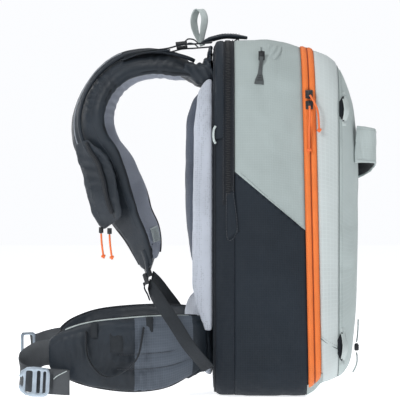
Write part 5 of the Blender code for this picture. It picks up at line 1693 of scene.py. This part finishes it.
def rounded_loop(wide, high, radius, cx=0.0, cy=0.0, steps=5):
    points = []
    for sx, sy, start in ((1, 1, 0), (-1, 1, 1), (-1, -1, 2), (1, -1, 3)):
        for k in range(steps + 1):
            a = (start + k / steps) * math.pi / 2
            points.append((cx + sx * (wide / 2 - radius) + radius * math.cos(a),
                           cy + sy * (high / 2 - radius) + radius * math.sin(a)))
    return points


shape = [(0.0215, -0.0160), (0.0228, -0.0120), (0.0228, 0.0130), (0.0205, 0.0190), (0.0150, 0.0212),
         (-0.0020, 0.0220), (-0.0120, 0.0205), (-0.0200, 0.0150), (-0.0228, 0.0085), (-0.0222, 0.0055),
         (-0.0190, 0.0060), (-0.0170, 0.0085), (-0.0158, 0.0040), (-0.0158, -0.0040), (-0.0170, -0.0085),
         (-0.0190, -0.0060), (-0.0222, -0.0055), (-0.0228, -0.0085), (-0.0200, -0.0150), (-0.0120, -0.0205),
         (-0.0020, -0.0220), (0.0150, -0.0212), (0.0195, -0.0195)]
slots = [rounded_loop(0.0100, 0.0320, 0.0030, -0.0078), rounded_loop(0.0052, 0.0330, 0.0022, 0.0062),
         rounded_loop(0.0042, 0.0320, 0.0018, 0.0150)]
hook = plate("hook_plate", shape, slots, 0.0030, (-0.3400, y - 0.0415, 0.0265), (1, -0.10, -0.05), (0.05, 0.0, 1))
dress(hook, buckle_metal, "belt_buckle", ["hook_buckle"])
catch = plate("catch_loop", rounded_loop(0.024, 0.046, 0.005), [rounded_loop(0.0150, 0.0375, 0.0035)], 0.0030,
              (-0.3690, -y - 0.0180, 0.0560), (1, 0.45, 0), (0, 0, 1))
dress(catch, buckle_metal, "belt_ring", ["catch_ring"])
print("buckle and ring made")

# %% [markdown]
# The zip sliders are die-cast and painted black: a domed body with a nose, a bridge and a wire
# ring that takes the cord. Two of them meet on the main zip. The side pocket has one more, on a
# pale coil under a short puckered patch, with a moulded fishtail pull.

# %% Sliders and the side pocket's zip
slider_size = (0.0112, 0.0072, 0.0125)
zip_slider("upper_slider", slide_place("main_slider_upper"), (0, 0, 1), (0, -1, 0), slider_size, black_plastic,
           "upper_zip_slider", ["main_slider_upper"])
zip_slider("lower_slider", slide_place("main_slider_lower"), (0, 0, -1), (0, -1, 0), slider_size, black_plastic,
           "lower_zip_slider", ["main_slider_lower"])
for k in (1, 2):
    zip_slider(f"pocket_zip_{k}", slide_place(f"pocket_slider_{k}"), (0, 0, 1), (0, -1, 0), (0.0068, 0.0058, 0.0088),
               black_plastic, f"pocket_zip_slider_{k}", [f"pocket_slider_{k}"])
side_at = slide_place("side_slider")
zip_slider("side_zip_body", side_at, (0, 0, -1), (0, -1, 0), (0.0092, 0.0058, 0.0145), black_plastic,
           "side_zip_slider", ["side_slider"])
x, y, z = side_at
pull_line = [(x - 0.1 * d, min(y - 0.0047, side_y(x, z - d, 0.0035)), z - d) for d in (0.0010, 0.0130, 0.0270, 0.0420)]
fishtail = strip("fishtail_pull", pull_line, ((0, 0.0056), (0.3, 0.0050), (0.62, 0.0064), (0.86, 0.0125), (1, 0.0140)),
                 ((0, 0.0020), (0.4, 0.0026), (0.8, 0.0018), (1, 0.0016)), (1, 0, 0.1), 36, 0.8)
dress(fishtail, grey_rubber, "side_zip_pull", ["side_pull"])
ribs = [block("rib", (x - 0.1 * d, side_y(x, z - d, 0.0035) - 0.0009, z - d), (0.0038 + 0.0025 * k, 0.0008, 0.0011),
              bevel=0.0003) for k, d in enumerate((0.0290, 0.0325, 0.0360))]
dress(join("fishtail_ribs", ribs), black_plastic, "side_zip_pull")
tail = [(x - 0.0010, side_y(x, z - 0.030, 0.0012), z - 0.030), (x + 0.0040, side_y(x, z - 0.042, 0.0014), z - 0.042),
        (x + 0.0062, side_y(x, z - 0.052, 0.0012), z - 0.051)]
dress(strip("side_pull_label", tail, 0.0050, 0.0008, (1, 0, 0.3), 14), pale_band, "pack")
side_patch("side_zip_tape", ((-0.0125, 0.5240), (-0.0005, 0.5240), (-0.0005, 0.4700), (-0.0125, 0.4700)), 0.0010,
           gusset_cloth)
coil_at = side_line([(-0.0065, 0.5230), (-0.0065, 0.4710)], 0.0012, 60)
dress(teeth("side_zip_coil", coil_at, np.tile((0.0, -1.0, 0.0), (60, 1)), (0.0030, 0.0007, 0.0012), 0.0004), seam_shade,
      "pack")
patch = side_patch("side_zip_patch", ((0.0010, 0.5255), (0.0250, 0.5225), (0.0200, 0.4990), (0.0010, 0.4985)), 0.0014,
                   pale_cloth, bulge=0.0034, steps=22)
folds(patch, (0.0110, side_y(0.011, 0.512), 0.5120), (0.9, 0, -0.5), 0.0009, 0.0085, 0.020)
for k, edge in enumerate(([(0.0012, 0.4990), (0.0198, 0.4996)], [(0.0202, 0.5000), (0.0245, 0.5215)],
                          [(-0.0138, 0.4690), (-0.0138, 0.5200)])):
    stitches(f"side_patch_stitches_{k + 1}", side_line(edge, 0.0022, 30), (0, -1, 0), pale_band, "pack", 0.0030, 0.0003)
loop_at = [(-0.0745, 0.4010), (-0.0770, 0.3960), (-0.0778, 0.3880), (-0.0770, 0.3800), (-0.0745, 0.3750)]
line = np.array([(px, side_y(-0.0700, pz, 0.0030), pz) for px, pz in loop_at])
dress(strip("side_pull_loop", line, 0.0032, 0.0010, (1, 0, 0), 24), pale_band, "pack")
print("sliders made")

# %% [markdown]
# The front carries the skis. A wide band of cloth stands off the panel, for the ski tips, and two
# small half-moon loops of webbing on each seam take compression straps. Their ends are bar-tacked:
# a dense block of stitching that keeps a loaded loop from tearing out. A cord lock sits low.

# %% Lid trim
for place_name, z0, z1, x0 in (("upper", 0.445, 0.408, 0.1165), ("lower", 0.096, 0.054, 0.1145)):
    line, low = [], []
    for step in range(9):
        swell = math.sin(math.pi * step / 8)
        z = z0 + (z1 - z0) * step / 8
        line.append((x0 + 0.0035 * swell - 0.001, side_y(x0, z, 0.0014 + 0.0085 * swell), z))
        low.append((x0 - 0.0020 - 0.0045 * swell, side_y(x0 - 0.004, z, 0.0018), z))
    arch = strip(f"ski_ribbon_{place_name}", line, ((0, 0.0075), (0.5, 0.0105), (1, 0.0075)), 0.0014, (0.80, 0.60, 0), 40)
    dress(arch, pale_band, "front_lid", [f"ski_loop_{place_name}"])
    # A dark strip under each pale loop is painted shadow in the gap behind the loop.
    shadow = strip(f"ski_loop_painted_shadow_{place_name}", low, ((0, 0.002), (0.5, 0.0115), (1, 0.002)), 0.0010, (1, 0.2, 0), 30)
    dress(shadow, binding_cloth, "front_lid")
    for k, z in enumerate((z0 + 0.0020, z1 - 0.0020)):
        base = np.array((x0 - 0.001, side_y(x0, z, 0.0012), z))
        dress(strip(f"ski_ribbon_end_{place_name}_{k + 1}", [base + (-0.001, 0, 0.0045), base + (0, -0.0005, 0),
                                                            base + (0, 0, -0.0045)], 0.0078, 0.0011, (0.85, 0.5, 0), 12),
              pale_band, "front_lid")
        tack = [base + (dx, -0.0010, dz) for dz in (0.0016, 0.0, -0.0016) for dx in (-0.0034, 0.0034)]
        stitches(f"ski_tack_{place_name}_{k + 1}", smooth_line(tack, 40), (0, -1, 0), gusset_cloth, "front_lid", 0.0016,
                 0.0003)
BAND_PATH = [(0.1335, -0.1085, 0.3745), (0.1400, -0.1055, 0.3740), (0.1560, -0.1010, 0.3725), (0.1635, -0.0900, 0.3710),
             (0.1655, -0.0600, 0.3670), (0.1660, 0.0, 0.3620), (0.1650, 0.0400, 0.3580), (0.1590, 0.0720, 0.3530),
             (0.1470, 0.0960, 0.3480), (0.1355, 0.1085, 0.3440)]
band = strip("ski_carry_band", BAND_PATH, ((0, 0.055), (0.12, 0.052), (0.5, 0.050), (1, 0.053)), 0.0023, (0, 0, 1), 110)
harden(band)
crumple(band, 0.0012, 0.020, 161.0)
folds(band, (0.138, -0.106, 0.372), (1, 0, 0.25), 0.0010, 0.007, 0.012)
dress(band, front_cloth_painted_light, "front_lid", ["ski_band"])
# A dark strip just inside the ski band is painted shade on the band's inner face.
inner_path = smooth_line(BAND_PATH, 110)
_, inner_out = frame_line(inner_path, (0, 0, 1))
inner_path = inner_path - inner_out * 0.0022 * np.sign(inner_out[55, 0])
dress(strip("ski_band_painted_shade", inner_path[3:-3:4], 0.0475, 0.0012, (0, 0, 1), 70), binding_cloth,
      "front_lid")
for k, high in enumerate((-0.0225, 0.0225)):
    line = smooth_line([(px, py, pz + high) for px, py, pz in BAND_PATH], 150)
    side, out = frame_line(line, (0, 0, 1))
    stitches(f"ski_band_stitches_{k + 1}", line - out * 0.0014 * np.sign(out[:, :1] * 0 + out[75, 0]) * -1, out, pale_band,
             "front_lid", 0.0034, 0.0003)
for sign, z, z_high in ((-1, 0.3480, 0.4010), (1, 0.3190, 0.3690)):
    line = [(0.1318, sign * (abs(side_y(0.1318, pz)) + 0.0010), pz) for pz in np.linspace(z, z_high, 12)]
    stitches(f"ski_band_seam_{'left' if sign < 0 else 'right'}", np.array(line), (0.3, sign, 0), seam_shade, "front_lid",
             0.0030, 0.0004)
low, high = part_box("tie_lock")
centre = (low + high) / 2
size = high - low
barrel = block("lock_barrel", centre, (size[0] * 0.96, size[1] * 0.92, size[2] * 0.86), bevel=0.0020, segments=4)
button = block("lock_button", centre + Vector((0, 0, size[2] * 0.44)), (size[0] * 0.6, size[1] * 0.6, 0.0022), bevel=0.0007)
waist = block("lock_grip", centre, (size[0] * 1.0, size[1] * 0.6, 0.0026), bevel=0.0010)
dress(join("cord_lock_body", [barrel, button, waist]), black_plastic, "front_lid", ["tie_lock"])
corner = [(0.0800, 0.0880), (0.0920, 0.0790), (0.1050, 0.0720)]
for side_name, sign in (("left", -1), ("right", 1)):
    line = side_line(corner, 0.0010, 40, sign)
    dress(tube(f"gusset_corner_{side_name}", line, 0.0007, 6), seam_shade, "front_lid")
    stitches(f"gusset_corner_stitches_{side_name}", side_line([(px, pz + 0.0040) for px, pz in corner], 0.0016, 40, sign),
             (0, sign, 0), pale_band, "front_lid", 0.0034, 0.0003)
print("lid trim made")

# %% [markdown]
# Inside, the airbag lies folded like a concertina behind the divider, over the fan unit. The
# frame sheet and its two alloy stays keep the back flat, and a box of electronics drives the
# fan. The hard parts keep the shapes of the mechanical model and only need a finish; the soft
# airbag is made again, as folds of thin cloth.

# %% Inside
low, high = [np.array(v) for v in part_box("airbag")]
airbag_fabric = ripstop_cloth("airbag_nylon", (0.80, 0.17, 0.04), grid=0.0050, line_tone=1.2, rough=0.45)
centre, half = (low + high) / 2, (high - low) / 2
angles = math.tau * np.arange(72) / 72
ring_y = np.sign(np.cos(angles)) * np.abs(np.cos(angles)) ** 0.35 * half[1] * 0.97
ring_x = np.sign(np.sin(angles)) * np.abs(np.sin(angles)) ** 0.5 * half[0]
rows = []
for k, t in enumerate(np.linspace(0, 1, 91)):
    pleat = 0.86 + 0.13 * math.cos(2 * math.pi * 7.5 * t)
    close = min(1.0, (min(t, 1 - t) * 30 + 0.15)) ** 0.5
    z = low[2] + (high[2] - low[2]) * t
    rows.append(np.stack([centre[0] + ring_x * pleat * close, centre[1] + ring_y * (0.98 + 0.02 * pleat) * close,
                          np.full(72, z)], axis=1))
bag = skin("folded_airbag", np.array(rows))
crumple(bag, 0.0006, 0.020, 171.0)
lowest = points_of(bag)
move_points(bag, np.clip(lowest, low + 0.0002, high - 0.0002) - lowest)
dress(bag, airbag_fabric, "pack", ["airbag"])
for node, finish, slot in (("frame_sheet", case_plastic, "frame_plastic"), ("frame_stay_left", stay_metal, "stay_alloy"),
                           ("frame_stay_right", stay_metal, "stay_alloy"), ("blower_housing", case_plastic, "black_plastic"),
                           ("blower_wheel", black_plastic, "black_plastic"),
                           ("capacitor_pack", case_plastic, "black_plastic"),
                           ("control_box", case_plastic, "black_plastic"), ("power_button", orange_cord_finish, "orange_cord")):
    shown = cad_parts[node]
    for place_of in shown.material_slots:
        place_of.material = finish
print("inside finished")
